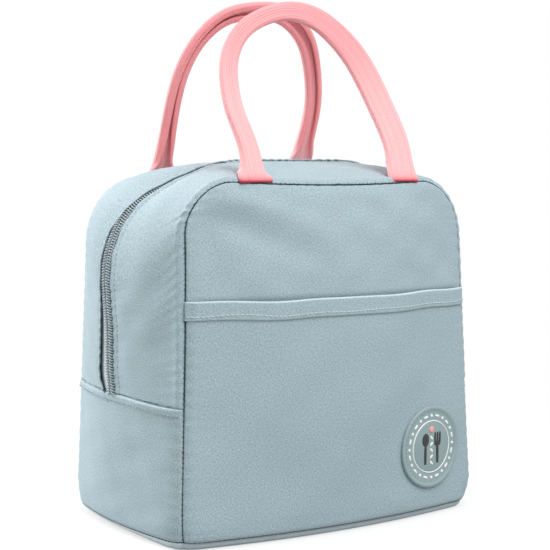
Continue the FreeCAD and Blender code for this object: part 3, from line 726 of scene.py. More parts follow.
# Depth of the two edges beside the zip along the arch's run: they wander over the slumped left side. Over the
# top the two edges close above the coil, from the given run on each side, and the cloth dips along the zip on
# the slumped left end of the top.
zipEdge = dict(
    low=79, even=0.012, close=(0.24, 0.10), backWave=0.3, backWaveLength=60, archLength=300,
    dip=3, dipAt=(0.335, -8, 0.045, 18),
    front=[(0, -7.9), (0.03, -7.6), (0.052, -5.9), (0.09, -6.1), (0.134, -6.4), (0.18, -4.6), (0.217, -3.4),
           (0.238, -1.2), (0.261, -1.7), (0.281, -1.8), (0.298, -4), (0.321, -9.5), (0.336, -13.5),
           (0.350, -15.2), (0.370, -14.4), (0.41, -7), (0.45, 0), (0.5, 1), (0.66, 1), (0.70, -1.2),
           (0.76, -5.2), (1, -5.2)],
    back=[(0, 2), (0.008, 3.5), (0.02, 7), (0.036, 12), (0.048, 13.7), (0.082, 12.3), (0.128, 10.9),
          (0.175, 9.4), (0.215, 9.8), (0.236, 12.2), (0.258, 12), (0.282, 6), (0.298, 1.5), (0.321, -6.5),
          (0.336, -11), (0.350, -13), (0.370, -12.8), (0.41, -7), (0.45, -2.4), (0.5, -1), (0.66, -1),
          (0.70, 3), (0.76, 9), (0.955, 12), (0.985, 8), (1, 2)],
)


def overTop(s):
    return ramp(np.minimum(s, 1 - s), *zipEdge["close"])


def topDip(s, y):
    return zipEdge["dip"] * bump(s, y, *zipEdge["dipAt"])


def frontEdge(s):
    return tableAt(s, zipEdge["front"], zipEdge["even"])


def backEdge(s):
    wave = lineWaves(zipEdge["archLength"] * s, zipEdge["backWaveLength"], 55)
    return tableAt(s, zipEdge["back"], zipEdge["even"]) + zipEdge["backWave"] * wave


gusset = dict(
    runs=520, across=46, crowd=0.8, frontLift=0.35, backLift=1.3, topLift=0.7, edgeReach=4,
    tuckShare=0.5, tuckAt=(4.2, 1.3), calm=14, waves=[(0.5, 62, 1), (0.25, 26, 2)],
    gather=0.22, gatherReach=6, gatherWave=(8.6, 2, 60), sink=1, sinkHeight=6, welt=1.1,
    weltAt=(3, 2.2), weltGrow=8, backWelt=0.4, rightWelt=1.15, swell=2, swellAt=(0.285, 0.04),
    hemShadowOffset=0.08, hemShadowRise=0.7,
)


# Folds of a gusset strip: soft waves in its middle, gathers along the zip edge, a sunk foot behind the side
# hem, the dip of the top, a welt beside the seam and, on the back, a swell at the left shoulder.
def gussetFolds(side, s, along, y, z, gap, edgeGap, lowZ, sign, seed):
    middle = smoothStep(np.minimum(gap, edgeGap) / gusset["calm"])
    waves = [height * softWaves(along, y, length, seed + step) for height, length, step in gusset["waves"]]
    beat = wanderingWave(along, *gusset["gatherWave"], seed)
    rise = middle * sum(waves) + gusset["gather"] * np.exp(-edgeGap / gusset["gatherReach"]) * beat
    rise = rise - gusset["sink"] * (1 - ramp(z, lowZ, gusset["sinkHeight"])) - topDip(s[:, None], y)
    welt = gusset["welt"] * ridge(gap, *gusset["weltAt"]) * ramp(z, lowZ, gusset["weltGrow"])
    welt = welt * np.where(sign > 0, gusset["rightWelt"], 1)
    rise = rise + welt * (1 if side < 0 else gusset["backWelt"])
    if side > 0:
        full = np.sin(np.pi * np.clip(gap / (gap + edgeGap), 0, 1))
        rise = rise + gusset["swell"] * ridge(s[:, None], *gusset["swellAt"]) * full
    return rise


# Strip of the gusset from the seam to the zip edge, over the whole arch. Its edge lifts over the zip, with a
# tuck where it is stitched.
def gussetGrid(side, lowZ, edgeY, inset=0, runs=gusset["runs"], across=gusset["across"], seed=5,
               edgeLift=0, folds=True):
    s = np.linspace(0, 1, runs)
    start = seamY(s, lowZ, side, inset)
    y = start[:, None] + (edgeY(s) - start)[:, None] * crowded(across, gusset["crowd"])
    x, z, angle, sign = archAt(np.repeat(s[:, None], across, 1), y, lowZ, inset)
    gap = np.maximum(-side * (y - wallY(x, z, side, inset)), 0)
    along = lineRun(np.stack([x[:, 0], z[:, 0]], -1))[:, None] + 0 * y
    edgeGap = np.abs(y - edgeY(s)[:, None])
    pull = seamPull(gap, z, along, seed, 1 if folds else 0, gatheredShare(side, x))
    rise = 0
    if folds:
        lift = (edgeLift + gusset["topLift"] * overTop(s))[:, None]
        tuck = gusset["tuckShare"] * ridge(edgeGap, *gusset["tuckAt"])
        rise = lift * (ridge(edgeGap, 0, gusset["edgeReach"]) - tuck)
        rise = rise + gussetFolds(side, s, along, y, z, gap, edgeGap, lowZ, sign, seed)
    points = np.stack([
        x + sign * np.sin(angle) * (rise - pull),
        y - side * edge["depthShare"] * pull,
        z + np.cos(angle) * (rise - pull) * np.where(angle < 1.5, 1, 0),
    ], -1)
    # Painted shadow: besides the seam line, a dark line painted on the gusset just above the side panel's
    # hem.
    shade = np.minimum(gap, gusset["hemShadowOffset"] + np.abs(z - hemTop(y) - gusset["hemShadowRise"]))
    return points, np.stack([y, along], -1), shade, along, s


strips = {}
for (label, side, more), edgeLine, seed in zip(halves, (frontEdge, backEdge), (51, 61)):
    strip, cloth, gap, along, gussetRun = gussetGrid(side, zipEdge["low"], edgeLine,
                                                     edgeLift=gusset[label + "Lift"], seed=seed)
    strips[label] = strip
    canvasPiece(label + "_gusset_cloth", strip, cloth, gap, along, replaces=(label + "_gusset",), **more)
print("gusset made")

# The slip pocket is sewn into the same seams and stands a little off the front.
pocket = dict(
    top=140, lift=1.5, gape=1, gapeFrom=(90, 50), gapeHalf=106, seed=3,
    bumps=[(1.6, -20, 70, 60, 45), (-0.8, -80, 60, 22, 40)], waves=[(0.8, 95, 21), (0.3, 38, 22)],
)


# The pocket's folds, and its mouth gaping in the middle.
def pocketFolds(x, z):
    gape = pocket["gape"] * ramp(z, *pocket["gapeFrom"]) * (1 - (x / pocket["gapeHalf"]) ** 2)
    return slack(x, z, pocket) + gape


points, cloth, gap, along = wallGrid(-1, low, highZ=pocket["top"], lift=pocket["lift"], folds=pocketFolds,
                                     seed=pocket["seed"])
canvasPiece("pocket_cloth", points, cloth, gap, along, blendTo=mouthBlend,
            replaces=("pocket_panel_lower", "pocket_panel_upper"))


# Depth of the pocket's face at any point away from its seams.
def pocketY(x, z):
    y = wallY(x, z, -1)
    gap, _ = archGap(x, y, z)
    rise = caughtLift(pocket["lift"], gap) + pocketFolds(x, z) * calmShare(gap, z - low)
    return y - rise + edge["depthShare"] * seamPull(gap, z, z, pocket["seed"])


# The band is a flat tube: a rounded section carried from seam to seam over the pocket's top edge. It sags a
# little, most at its left end, and is gripped along its stitches.
band = dict(
    low=133.4, high=144.4, thick=2.6, columns=170, around=48, square=6, endGap=0.7, endFlat=0.25,
    endReach=6, sag=0.5, sagLength=55, leftSag=0.7, leftFrom=(65, 38), off=0.35, onPocket=139,
    grip=0.25, gripWave=(9, 2, 50), gripAt=(136, 2.5), topPaintedLight=0.75, topPaintedLightAt=(-1.3, 1.1),
    lowPaintedLight=0.5, lowPaintedLightAt=(-1.2, 0.8), stitchRise=2.8,
)
u = (2 * crowded(band["columns"]) - 1)[:, None]
turn = wholeTurn(band["around"])
bandRound = band["thick"] / 2
straight = (band["high"] - band["low"]) / 2 - bandRound
bandZ = (band["low"] + band["high"]) / 2 + bandRound * np.cos(turn)
bandZ = bandZ + straight * np.tanh(band["square"] * np.cos(turn))
bandOut = bandRound * np.sin(turn)
half = wallHalf(bandZ[None, :], u, -1)
x = (half - band["endGap"]) * u
endGap = half - np.abs(x)
flat = band["endFlat"] + (1 - band["endFlat"]) * smoothStep(endGap / band["endReach"])
sag = band["sag"] * lineWaves(x, band["sagLength"], 71) + band["leftSag"] * ramp(-x, *band["leftFrom"])
z = bandZ[None, :] + sag
grip = band["grip"] * wanderingWave(x, *band["gripWave"], 72) * ridge(z, *band["gripAt"]) ** 2
y = pocketY(x, np.minimum(z, band["onPocket"])) - (band["off"] + bandOut[None, :]) * flat + grip
points = np.stack([x, y, z], -1)
# Painted highlights along the band's top fold and its lower edge.
wear = band["topPaintedLight"] * ramp(bandZ - band["high"], *band["topPaintedLightAt"])
wear = wear + band["lowPaintedLight"] * ramp(band["low"] - bandZ, *band["lowPaintedLightAt"])
bandLine = points[:, int(np.argmin(np.abs(bandZ - band["low"] - band["stitchRise"]) + 50 * (bandOut < 0)))]
makeObject("pocket_band_cloth", points, tubeFaces(points), canvas, cloth=np.stack([x, z + 3 * bandOut], -1),
           values={"seamGap": endGap, "seamRun": z, "wear": np.repeat(wear[None, :], len(x), 0)},
           blendTo=mouthBlend, replaces=("pocket_band",), slot="canvas")
print("pocket made")

# The floor: the loop of the foot seams, rolled in and down as a quarter round, wider towards the back, then
# drawn in to the middle.
floorPanel = dict(points=520, rollSteps=8, rings=18, cornerSpread=16, backRoll=2.2, rollFrom=(-60, 70),
                  edgePaintedLight=0.8, waveHeight=0.6, waveLength=80, waveStart=0.15, edgeGap=9, middleGap=80)
around = [feet["front"], sideStrip["right"][0], feet["back"][::-1], sideStrip["left"][0][::-1]]
loop = np.concatenate(around + [feet["front"][:1]])
run = lineRun(loop)
loopRun = np.linspace(0, run[-1], floorPanel["points"], endpoint=False)
loop = atRun(loopRun, run, loop)
tangent = np.roll(loop, -2, 0) - np.roll(loop, 2, 0)
inwards = unit(np.stack([-tangent[:, 1], tangent[:, 0], 0 * loopRun], -1))
spread = range(-floorPanel["cornerSpread"], floorPanel["cornerSpread"] + 1)
inwards = np.mean([np.roll(inwards, shift, 0) for shift in spread], 0)
angle = np.linspace(0, np.pi / 2, floorPanel["rollSteps"])
wide = low * (1 + floorPanel["backRoll"] * ramp(loop[:, 1:2], *floorPanel["rollFrom"]))
rolled = loop[None] + (inwards * wide)[None] * (1 - np.cos(angle))[:, None, None]
rolled[:, :, 2] = (low - low * np.sin(angle))[:, None]
gap = np.repeat((low * angle)[:, None], len(loop), 1)
along = np.repeat(loopRun[None], len(angle), 0)
# The rolled foot band faces down into shade; painted light keeps it pale.
canvasPiece("bottom_edge_cloth", rolled, np.stack([along, gap], -1), gap, along,
            np.full(gap.shape, floorPanel["edgePaintedLight"]), wrap=True, body="tub")
share = np.linspace(0, 1, floorPanel["rings"])[1:, None]
x, y = rolled[-1, :, 0] * share, rolled[-1, :, 1] * share
waves = np.clip(softWaves(x, y, floorPanel["waveLength"], 81), 0, 1)
z = floorPanel["waveHeight"] * waves * smoothStep((1 - share) / floorPanel["waveStart"])
gap = floorPanel["edgeGap"] + floorPanel["middleGap"] * (1 - share) + 0 * x
canvasPiece("bottom_cloth", np.stack([x, y, z], -1), np.stack([x, y], -1), gap, x, wrap=True,
            pole=(0, 0, z[0].mean()), body="tub", replaces=("bottom_panel",))
print("floor made")

# Padded inner walls: foam behind a foil lining, each wall one piece.
inner = dict(
    depth=6.6, thick=2.6, fill=0.9, tapeEdge=13.5, footRise=1.5, gussetLow=80.5, gussetRuns=200,
    gussetAcross=20, wallRows=(70, 28), wallColumns=110, sideRise=1, sideTop=80, sideRows=30,
    sideColumns=50, seed=8, floorZ=6, floorColumns=60, floorRows=44, floorHalf=64, floorGap=0.5,
    floorCrease=0.4, cornerX=108, cornerY=66, bumps=[], waves=[(0.5, 46, 91), (0.3, 19, 92)],
)
depth = inner["depth"]


def innerWall(name, points, replaces, **more):
    wall = gridPiece(name, points, lining, outward=False, thickness=inner["thick"], replaces=replaces,
                     slot="lining", **more)
    wall.data.materials.append(foam)
    shell = wall.modifiers["cloth"]
    shell.material_offset = 1
    shell.material_offset_rim = 1


def foilCreases(x, z):
    return slack(x, z, inner)


innerNodes = {"front": ("front_foam_lower", "front_foam_upper", "front_lining_lower", "front_lining_upper"),
              "back": ("back_foam", "back_lining")}
for (label, side, more), folds in zip(halves, (frontFolds, backFolds)):
    points, _, _, _ = wallGrid(side, low + inner["footRise"], inset=depth, rows=inner["wallRows"],
                               columns=inner["wallColumns"],
                               folds=lambda x, z: folds(x, z) + foilCreases(x, z))
    innerWall(label + "_inner_wall", points, innerNodes[label], **more)
for label, side, more in halves:
    points, _, _, _, _ = gussetGrid(side, inner["gussetLow"], lambda s: 0 * s + side * inner["tapeEdge"],
                                    inset=depth, runs=inner["gussetRuns"], across=inner["gussetAcross"],
                                    folds=False)
    innerWall(label + "_gusset_inner_wall", points, (label + "_gusset_foam", label + "_gusset_lining"),
              **more)
for label, sign in ends:
    column = np.linspace(low + inner["sideRise"], inner["sideTop"], inner["sideRows"])
    z = column[:, None] + np.zeros((1, inner["sideColumns"]))
    reach = sideDepth(column, sign, depth)[:, None]
    y = reach * np.linspace(-1, 1, inner["sideColumns"])
    gap = reach - np.abs(y)
    pull = seamPull(gap, z, z, inner["seed"], 0) + footRound(sign, y, z, gap)
    x = sideHalf(y, z, sign, depth) - foilCreases(y, z) - pull
    points = np.stack([sign * x, y - np.sign(y) * pull, z], -1)
    innerWall(label + "_side_inner_wall", points, (label + "_side_foam", label + "_side_lining"),
              body="tub")
spanX, spanY = np.meshgrid(np.linspace(-1, 1, inner["floorColumns"]),
                           np.linspace(-1, 1, inner["floorRows"]), indexing="ij")
floorZ = inner["floorZ"]
x = spanX * (sideHalf(spanY * inner["floorHalf"], floorZ, np.sign(spanX), depth) - inner["floorGap"])
y = spanY * (np.abs(wallY(x, floorZ, 1, depth)) - inner["floorGap"])
rounded = footRound(x, y, floorZ, np.maximum(inner["cornerX"] - np.abs(x), inner["cornerY"] - np.abs(y)))
x, y = x - np.sign(x) * rounded, y - np.sign(y) * rounded
points = np.stack([x, y, floorZ + inner["floorCrease"] * foilCreases(x, y)], -1)
innerWall("bottom_inner_wall", points, ("bottom_foam", "bottom_lining"), body="tub", middle=(0, 0, 300))
print("inner walls made")

# Zip: woven tapes sunk under the gusset's folded edges, and two coils that mesh along the middle. The chain
# keeps its distance from the front edge.
zipper = dict(
    low=80, coilLow=83, chainGap=5.2, tapeRows=300, tapeColumns=44, tapeHalfGap=0.2, tapeReach=20,
    tapeThick=0.7, tapeLength=500, sunk=0.35, slope=0.12, slopeFrom=7, darkSoft=0.4, pitch=1.68,
    coilHalf=1.78, coilHigh=1.05, coilMiddle=2.7, wire=0.40, wireSides=6, loopSteps=9, lineSteps=4000,
    proud=0.6, topSunk=1.7, snug=0.2, snugFrom=(0.88, 0.04),
)


def chainY(s):
    return frontEdge(s) + zipper["chainGap"]


# Tape from its far edge to the middle, sinking further away from the coil, with painted shade in a dark band
# under the coil.
def tapeGrid(side):
    s = np.linspace(0, 1, zipper["tapeRows"])
    v = np.linspace(zipper["tapeReach"], zipper["tapeHalfGap"], zipper["tapeColumns"])
    y = side * v[None, :] + chainY(s)[:, None]
    slope = zipper["slope"] * np.maximum(v - zipper["slopeFrom"], 0)
    sunk = zipper["sunk"] + slope[None, :] + topDip(s[:, None], y)
    x, z, _, _ = archAt(np.repeat(s[:, None], len(v), 1), y, zipper["low"], sunk)
    run = np.repeat(np.linspace(0, zipper["tapeLength"], len(s))[:, None], len(v), 1)
    # Painted shade: the tape is dark where the coil's loops cover it.
    dark = 1 - ramp(v, zipper["coilMiddle"] + zipper["coilHalf"], zipper["darkSoft"])
    cloth = np.stack([side * v + 0 * run, run], -1)
    return np.stack([x, y, z], -1), cloth, np.repeat(dark[None, :], len(s), 0)


# A tube carried along a helix that is flattened to the zip's face: loops lie across the chain, a row each
# side, half a loop apart. The row narrows where the slider holds it.
def coilGrid(side):
    s = np.linspace(0, 1, zipper["lineSteps"])
    snug = 1 - zipper["snug"] * ramp(s, *zipper["snugFrom"])
    y = side * zipper["coilMiddle"] * snug + chainY(s)
    x, z, angle, sign = archAt(s, y, zipper["coilLow"])
    line = np.stack([x, y, z], -1)
    run = lineRun(line)
    loops = int(run[-1] / zipper["pitch"]) - 2
    turn = np.linspace(0, loops * 2 * np.pi, loops * zipper["loopSteps"])
    t = zipper["pitch"] * (turn / (2 * np.pi) + 0.5 + 0.25 * side)
    centre = atRun(t, run, line)
    out = unit(atRun(t, run, np.stack([sign * np.sin(angle), 0 * s, np.cos(angle)], -1)))
    half = zipper["coilHalf"] * np.interp(t, run, snug)
    path = centre + np.array([0, 1, 0]) * (half * np.cos(turn) * side)[:, None]
    proud = zipper["proud"] - zipper["topSunk"] * overTop(t / run[-1]) - np.interp(t, run, topDip(s, y))
    path = path + out * (proud + zipper["coilHigh"] * np.sin(turn))[:, None]
    tangent = unit(np.gradient(path, axis=0))
    first = unit(np.cross(tangent, np.gradient(centre, axis=0)))
    second = np.cross(tangent, first)
    around = wholeTurn(zipper["wireSides"])
    ring = first[:, None] * np.cos(around)[None, :, None] + second[:, None] * np.sin(around)[None, :, None]
    return path[:, None] + zipper["wire"] * ring


for label, side, more in halves:
    points, cloth, dark = tapeGrid(side)
    gridPiece(label + "_zip_tape_cloth", points, tapeCloth, cloth=cloth, values={"band": dark},
              thickness=zipper["tapeThick"], replaces=("zip_tape_" + label,), slot="zip_tape", **more)
for label, side, more in halves:
    points = coilGrid(side)
    makeObject(label + "_zip_coil_wire", points, tubeFaces(points), coilPlastic,
               replaces=("zip_coil_" + label,), slot="zip_coil", **more)
print("zip made")

# Each stitch's section along its length: share of the half length, share of the radius, and rise in radii.
stitch = dict(along=[-1, -0.75, 0, 0.75, 1], thick=[0.35, 0.85, 1, 0.85, 0.35],
              lift=[-0.9, -0.1, 0.25, -0.1, -0.9], sides=6, wanderLength=40,
              caps=[[0, 1, 2, 3], [0, 3, 4, 5], [27, 26, 25, 24], [29, 28, 27, 24]])


# Stitches: short plump dashes along a line, each tucked in at its ends.
def stitchRow(name, line, outwards, pitch, length, radius, material, wander=0, seed=0, **more):
    run = lineRun(line)
    count = int(run[-1] / pitch)
    at = (np.arange(count) + 0.5) * run[-1] / count
    centre, out = atRun(at, run, line), atRun(at, run, outwards)
    tangent = unit(atRun(at, run, np.gradient(line, run, axis=0)))
    out = unit(out - tangent * np.sum(out * tangent, 1, keepdims=True))
    side = np.cross(tangent, out)
    centre = centre + side * (wander * lineWaves(at, stitch["wanderLength"], seed))[:, None]
    t, thick, lift = (np.array(stitch[key]) for key in ("along", "thick", "lift"))
    thick, lift = radius * thick[:, None], radius * lift[:, None]
    around = wholeTurn(stitch["sides"])
    points = (centre[:, None, None] + tangent[:, None, None] * (t * length / 2)[None, :, None, None]
              + out[:, None, None] * (lift + thick * np.sin(around))[None, :, :, None]
              + side[:, None, None] * (thick * np.cos(around))[None, :, :, None])
    parts = []
    first = (np.arange(count) * len(t) * stitch["sides"])[:, None, None]
    for one in (gridFaces(len(t), stitch["sides"], True), np.array(stitch["caps"])):
        parts.append(outwardFaces(points, (one[None] + first).reshape(-1, 4),
                                  np.repeat(centre, len(one), 0)))
    return makeObject(name, points, np.concatenate(parts), material, slot="canvas", **more)


# Line on a gusset strip at the given distance from its zip edge, and the outward direction along it.
def gussetLine(points, s, inwards):
    column = np.linalg.norm(points - points[:, -1:], axis=2)
    first = np.argmax(column < inwards, 1)
    rows = np.arange(len(s))
    a, b = column[rows, first - 1], column[rows, first]
    share = ((a - inwards) / (a - b))[:, None]
    line = points[rows, first - 1] * (1 - share) + points[rows, first] * share
    _, _, angle, sign = archAt(s, line[:, 1], zipEdge["low"])
    return line, np.stack([sign * np.sin(angle), 0 * s, np.cos(angle)], -1)


# One direction for a whole line.
def sameWay(line, direction):
    return np.repeat([direction], len(line), 0)


seams = dict(zipIn=4.2, bandOff=0.1, hemDrop=3.6, hemOff=0.2, hemColumn=45, hemEnds=3)
for (label, side, more), seed in zip(halves, (101, 102)):
    line, outwards = gussetLine(strips[label], gussetRun, seams["zipIn"])
    stitchRow("zip_stitch_" + label, line, outwards, 3.1, 2.3, 0.26, thread, 0.25, seed, **more)
line = bandLine - [0, seams["bandOff"], 0]
stitchRow("pocket_stitch", line, sameWay(line, [0, -1, 0.05]), 2.9, 2.3, 0.36, paleThread, 0.45, 103,
          blendTo=mouthBlend)
for label, sign in ends:
    points = sideStrip[label]
    heights = points[:, seams["hemColumn"], 2]
    row = int(np.argmin(np.abs(heights - heights[-1] + seams["hemDrop"])))
    line = points[row, seams["hemEnds"]:-seams["hemEnds"]] + np.array([sign * seams["hemOff"], 0, 0])
    stitchRow(label + "_hem_stitch", line, sameWay(line, [sign, 0, 0]), 3.1, 2.2, 0.34, thread, 0.2, 104,
              body="tub")
print("stitches made")

# Handles: flat webbing where it is sewn, its two edges turned in over the grip. Along each handle, fold is
# how far the edges are turned in, flat the half width left flat and twist the turn about its line, in
# degrees.
handle = dict(
    width=22, bend=1.5, thick=1.9, rib=0.11, ribPitch=1.57, footDepth=68.6, footHeight=212.6, rows=190,
    columns=89, even=0.04, evenRounds=40, levelRise=9, slack=0.35, slackLength=46, slackSeed=120,
    runLength=300, footPaintedShadow=1.4, footFade=1.6, topPaintedShade=0.28, topShadeFrom=(250, 55), clothLength=330,
    lipShadeFrom=(1.5, 0.8), lipShadeFade=0.65, lipShadeFadeFrom=(240, 60), bendStart=1,
    front=dict(lean=20.5, bendRise=9, line=[
        (-56.9, 212.6), (-56.7, 215), (-55.4, 226), (-57.6, 240), (-61, 255), (-62.2, 268), (-59.1, 283),
        (-51, 298), (-38.5, 308.3), (-21, 316.4), (-1.5, 318.8), (12, 316.4), (22.3, 309.5), (32.9, 297.5),
        (41, 282.5), (47.2, 265.5), (51.9, 248), (54.6, 230), (53.6, 216), (53.2, 212.6)],
        fold=[(0, 0), (0.006, 0.04), (0.03, 0.52), (0.05, 0.66), (0.09, 0.8), (0.18, 0.95), (0.5, 1),
              (0.9, 0.92), (0.94, 0.7), (0.975, 0.35), (1, 0.2)],
        flat=[(0, 4), (0.2, 3.8), (0.32, 3), (0.46, 3), (0.6, 5.6), (0.75, 7), (0.93, 6.8), (1, 5)],
        twist=[(0, 0), (0.4, 0), (0.5, -5), (0.65, -8), (0.9, -6), (1, 0)]),
    back=dict(lean=23.5, bendRise=4.5, line=[
        (-48.4, 212.6), (-48.8, 222), (-48.7, 240), (-49.4, 262), (-47.7, 283), (-40.9, 303),
        (-24.4, 318.4), (-1.8, 324), (16.2, 324), (34.2, 315), (48.2, 299.5), (57.7, 278.5), (60.9, 260),
        (61.6, 240), (61, 225), (60.6, 212.6)],
        fold=[(0, 0.22), (0.015, 0.3), (0.05, 0.6), (0.12, 0.82), (0.22, 0.95), (0.5, 1), (0.78, 0.95),
              (0.9, 0.7), (0.96, 0.3), (1, 0)],
        flat=[(0, 3.6), (0.3, 3.4), (0.5, 4.2), (1, 4.6)],
        twist=[(0, 0), (0.05, -4), (0.2, -10), (0.35, -14), (0.5, -10), (0.62, 0), (0.75, 10),
               (0.92, 8), (1, 0)]),
)


# A smooth line through the given points: cubic pieces with the slope of their neighbours, then evened out.
def smoothPath(controls, count):
    c = np.asarray(controls, float)
    run = lineRun(c)
    slope = np.gradient(c, run, axis=0)
    t = np.linspace(0, run[-1], count)
    i = np.clip(np.searchsorted(run, t) - 1, 0, len(run) - 2)
    h = (run[i + 1] - run[i])[:, None]
    f = (t[:, None] - run[i][:, None]) / h
    path = ((2 * f ** 3 - 3 * f ** 2 + 1) * c[i] + (f ** 3 - 2 * f ** 2 + f) * h * slope[i]
            + (3 * f ** 2 - 2 * f ** 3) * c[i + 1] + (f ** 3 - f ** 2) * h * slope[i + 1])
    for _ in range(handle["evenRounds"]):
        path[1:-1] = 0.5 * path[1:-1] + 0.25 * (path[:-2] + path[2:])
    return path


# Webbing grid: across its width the section turns by the fold angle beyond the flat middle, and its place is
# the running sum of that direction; the section is carried along the handle's line in its leaning plane.
def handleGrid(side, shape):
    line = smoothPath(shape["line"], handle["rows"])
    lean = math.radians(shape["lean"])
    climb = line[:, 1] - handle["footHeight"]
    path = np.stack([line[:, 0], side * (handle["footDepth"] - climb * math.tan(lean)), line[:, 1]], -1)
    face = np.array([0, side * math.cos(lean), math.sin(lean)])
    aside = np.cross(face, unit(np.gradient(path, axis=0)))
    level = smoothStep(climb[:, None] / handle["levelRise"])
    aside = unit(level * aside + (1 - level) * np.sign(aside[:, :1]) * [1, 0, 0])
    run = np.linspace(0, 1, len(path))
    twist = np.radians(tableAt(run, shape["twist"], handle["even"]))[:, None]
    turnedFace = face * np.cos(twist) + aside * np.sin(twist)
    aside = aside * np.cos(twist) - face * np.sin(twist)
    fold = smoothStep(np.interp(run, *zip(*shape["fold"])))
    w = np.linspace(-handle["width"] / 2, handle["width"] / 2, handle["columns"])
    flatHalf = tableAt(run, shape["flat"], handle["even"])[:, None]
    reach = np.clip((np.abs(w)[None, :] - flatHalf) / (np.pi * handle["bend"]), 0, 1)
    angle = fold[:, None] * np.pi * np.sign(w)[None, :] * reach
    middle = len(w) // 2

    def runningSum(values):
        steps = np.cumsum((values[:, 1:] + values[:, :-1]) / 2, 1)
        total = np.concatenate([np.zeros((len(values), 1)), steps], 1) * (w[1] - w[0])
        return total - total[:, middle:middle + 1]

    across, back = runningSum(np.cos(angle)), runningSum(-np.sin(angle))
    rib = handle["rib"] * np.cos(2 * np.pi * w / handle["ribPitch"])[None, :]
    across, back = across + rib * np.sin(angle), back + rib * np.cos(angle)
    slackness = handle["slack"] * lineWaves(run * handle["runLength"], handle["slackLength"],
                                            handle["slackSeed"] + side)
    across = across + slackness[:, None]
    points = path[:, None] + aside[:, None] * across[:, :, None] + turnedFace[:, None] * back[:, :, None]
    # Painted shadow at the foot, where the webbing enters the seam, and painted shade over the handle's top;
    # both go to the inner attribute.
    dark = np.minimum(handle["footPaintedShadow"] * np.exp(-np.maximum(climb, 0) / handle["footFade"]), 1)
    dark = dark + handle["topPaintedShade"] * ramp(path[:, 2], *handle["topShadeFrom"])
    cloth = np.stack(np.broadcast_arrays(w[None, :], (run * handle["clothLength"])[:, None]), -1)
    # Painted shade on the turned-in lips, fading over the handle's top.
    faded = 1 - handle["lipShadeFade"] * ramp(path[:, 2:], *handle["lipShadeFadeFrom"])
    lip = ramp(np.abs(angle), *handle["lipShadeFrom"]) * faded
    return points, cloth, np.repeat(dark[:, None], len(w), 1), lip, face


for (label, side, _), base in zip(halves, ("front_half", "tub")):
    points, cloth, dark, lip, face = handleGrid(side, handle[label])
    faces = gridFaces(handle["rows"], handle["columns"])
    top, middle = handle["rows"] // 2, handle["columns"] // 2
    alongTop = points[top + 1, middle] - points[top, middle]
    acrossTop = points[top, middle + 1] - points[top, middle]
    faces = faces if np.dot(np.cross(alongTop, acrossTop), face) > 0 else faces[:, ::-1]
    foot, rise = handle["footHeight"], handle[label]["bendRise"]
    start = (0.0, side * handle["footDepth"] * mm, (foot + handle["bendStart"]) * mm)
    end = (0.0, side * (handle["footDepth"] - rise / 3.0) * mm, (foot + rise) * mm)
    makeObject(label + "_handle_webbing", points, faces, webbing, cloth=cloth,
               values={"inner": dark, "lip": lip}, thickness=handle["thick"], inward=0,
               blendTo=(base, label + "_handle", start, end), replaces=(label + "_handle",), slot="webbing")
print("handles made")

# Badge: a soft rubber disc sewn on the pocket, with a raised rim, a dashed ring and a table setting on its
# face. Profiles are radius and height above the disc's face.
badge = dict(
    x=67.1, z=45, radius=26, thick=1.6, rim=0.7, columns=128, inside=40, face=0.25,
    disc=[(0.6, -0.2), (15.9, -0.2), (16.2, -0.05), (16.6, 0), (22, 0), (23, 0.05)],
    middle=[(0.6, 0.25), (15.2, 0.25), (15.8, 0.1), (16.1, -0.3)],
    circle=[(16, 0.1), (16.25, 0.4), (16.6, 0.4), (16.85, -0.1)],
    dashes=24, dashRing=19.8, dash=(1.9, 0.75), dot=(0.95, 0.95), dashPower=2.6, dashRise=0.05,
    dashHeight=0.45, stitchRing=22.4, stitchRise=0.05, cutleryX=5.4, cutleryHeight=0.5, leaves=5,
    leafHeight=0.4, berryZ=11, berry=2.1, berryHeight=0.6,
)
badgeMiddle = (badge["x"], badge["inside"], badge["z"])


# Point on the pocket at a and b from the badge's middle, the given height in front of it.
def onPocket(a, b, height):
    x, z = badge["x"] + a, badge["z"] + b
    return np.stack(np.broadcast_arrays(x, pocketY(x, z) - height, z), -1)


# A disc turned from a profile of radius and height; one that starts near the middle is closed there.
def turned(name, profile, material, **more):
    radius, height = np.asarray(profile, float).T
    angle = wholeTurn(badge["columns"])
    points = onPocket(radius[:, None] * np.cos(angle), radius[:, None] * np.sin(angle), height[:, None])
    pole = onPocket(0, 0, height[0]) if radius[0] < 1 else None
    return gridPiece(name, points, material, middle=badgeMiddle, wrap=True, pole=pole, body="tub", **more)


# A profile given from the disc's face, moved to that face.
def onFace(profile):
    return [(radius, badge["thick"] + height) for radius, height in profile]


r, t, k = badge["radius"], badge["thick"], badge["rim"]
rim = [(23.5, t + k * 0.6), (24.1, t + k), (25.2, t + k), (25.8, t + k * 0.6), (r, t), (r, 0.5),
       (r - 0.2, -0.2)]
turned("badge_disc", onFace(badge["disc"]) + rim, badgeRubber, replaces=("badge",), slot="badge_rubber")
turned("badge_middle", onFace(badge["middle"]), badgeFaceRubber, replaces=("badge_face",),
       slot="badge_face_rubber")

# Share of a dome's size and of its height at each ring.
dome = dict(columns=28, share=[0.2, 0.5, 0.8, 0.94, 1], rise=[1, 0.97, 0.85, 0.5, -0.6])


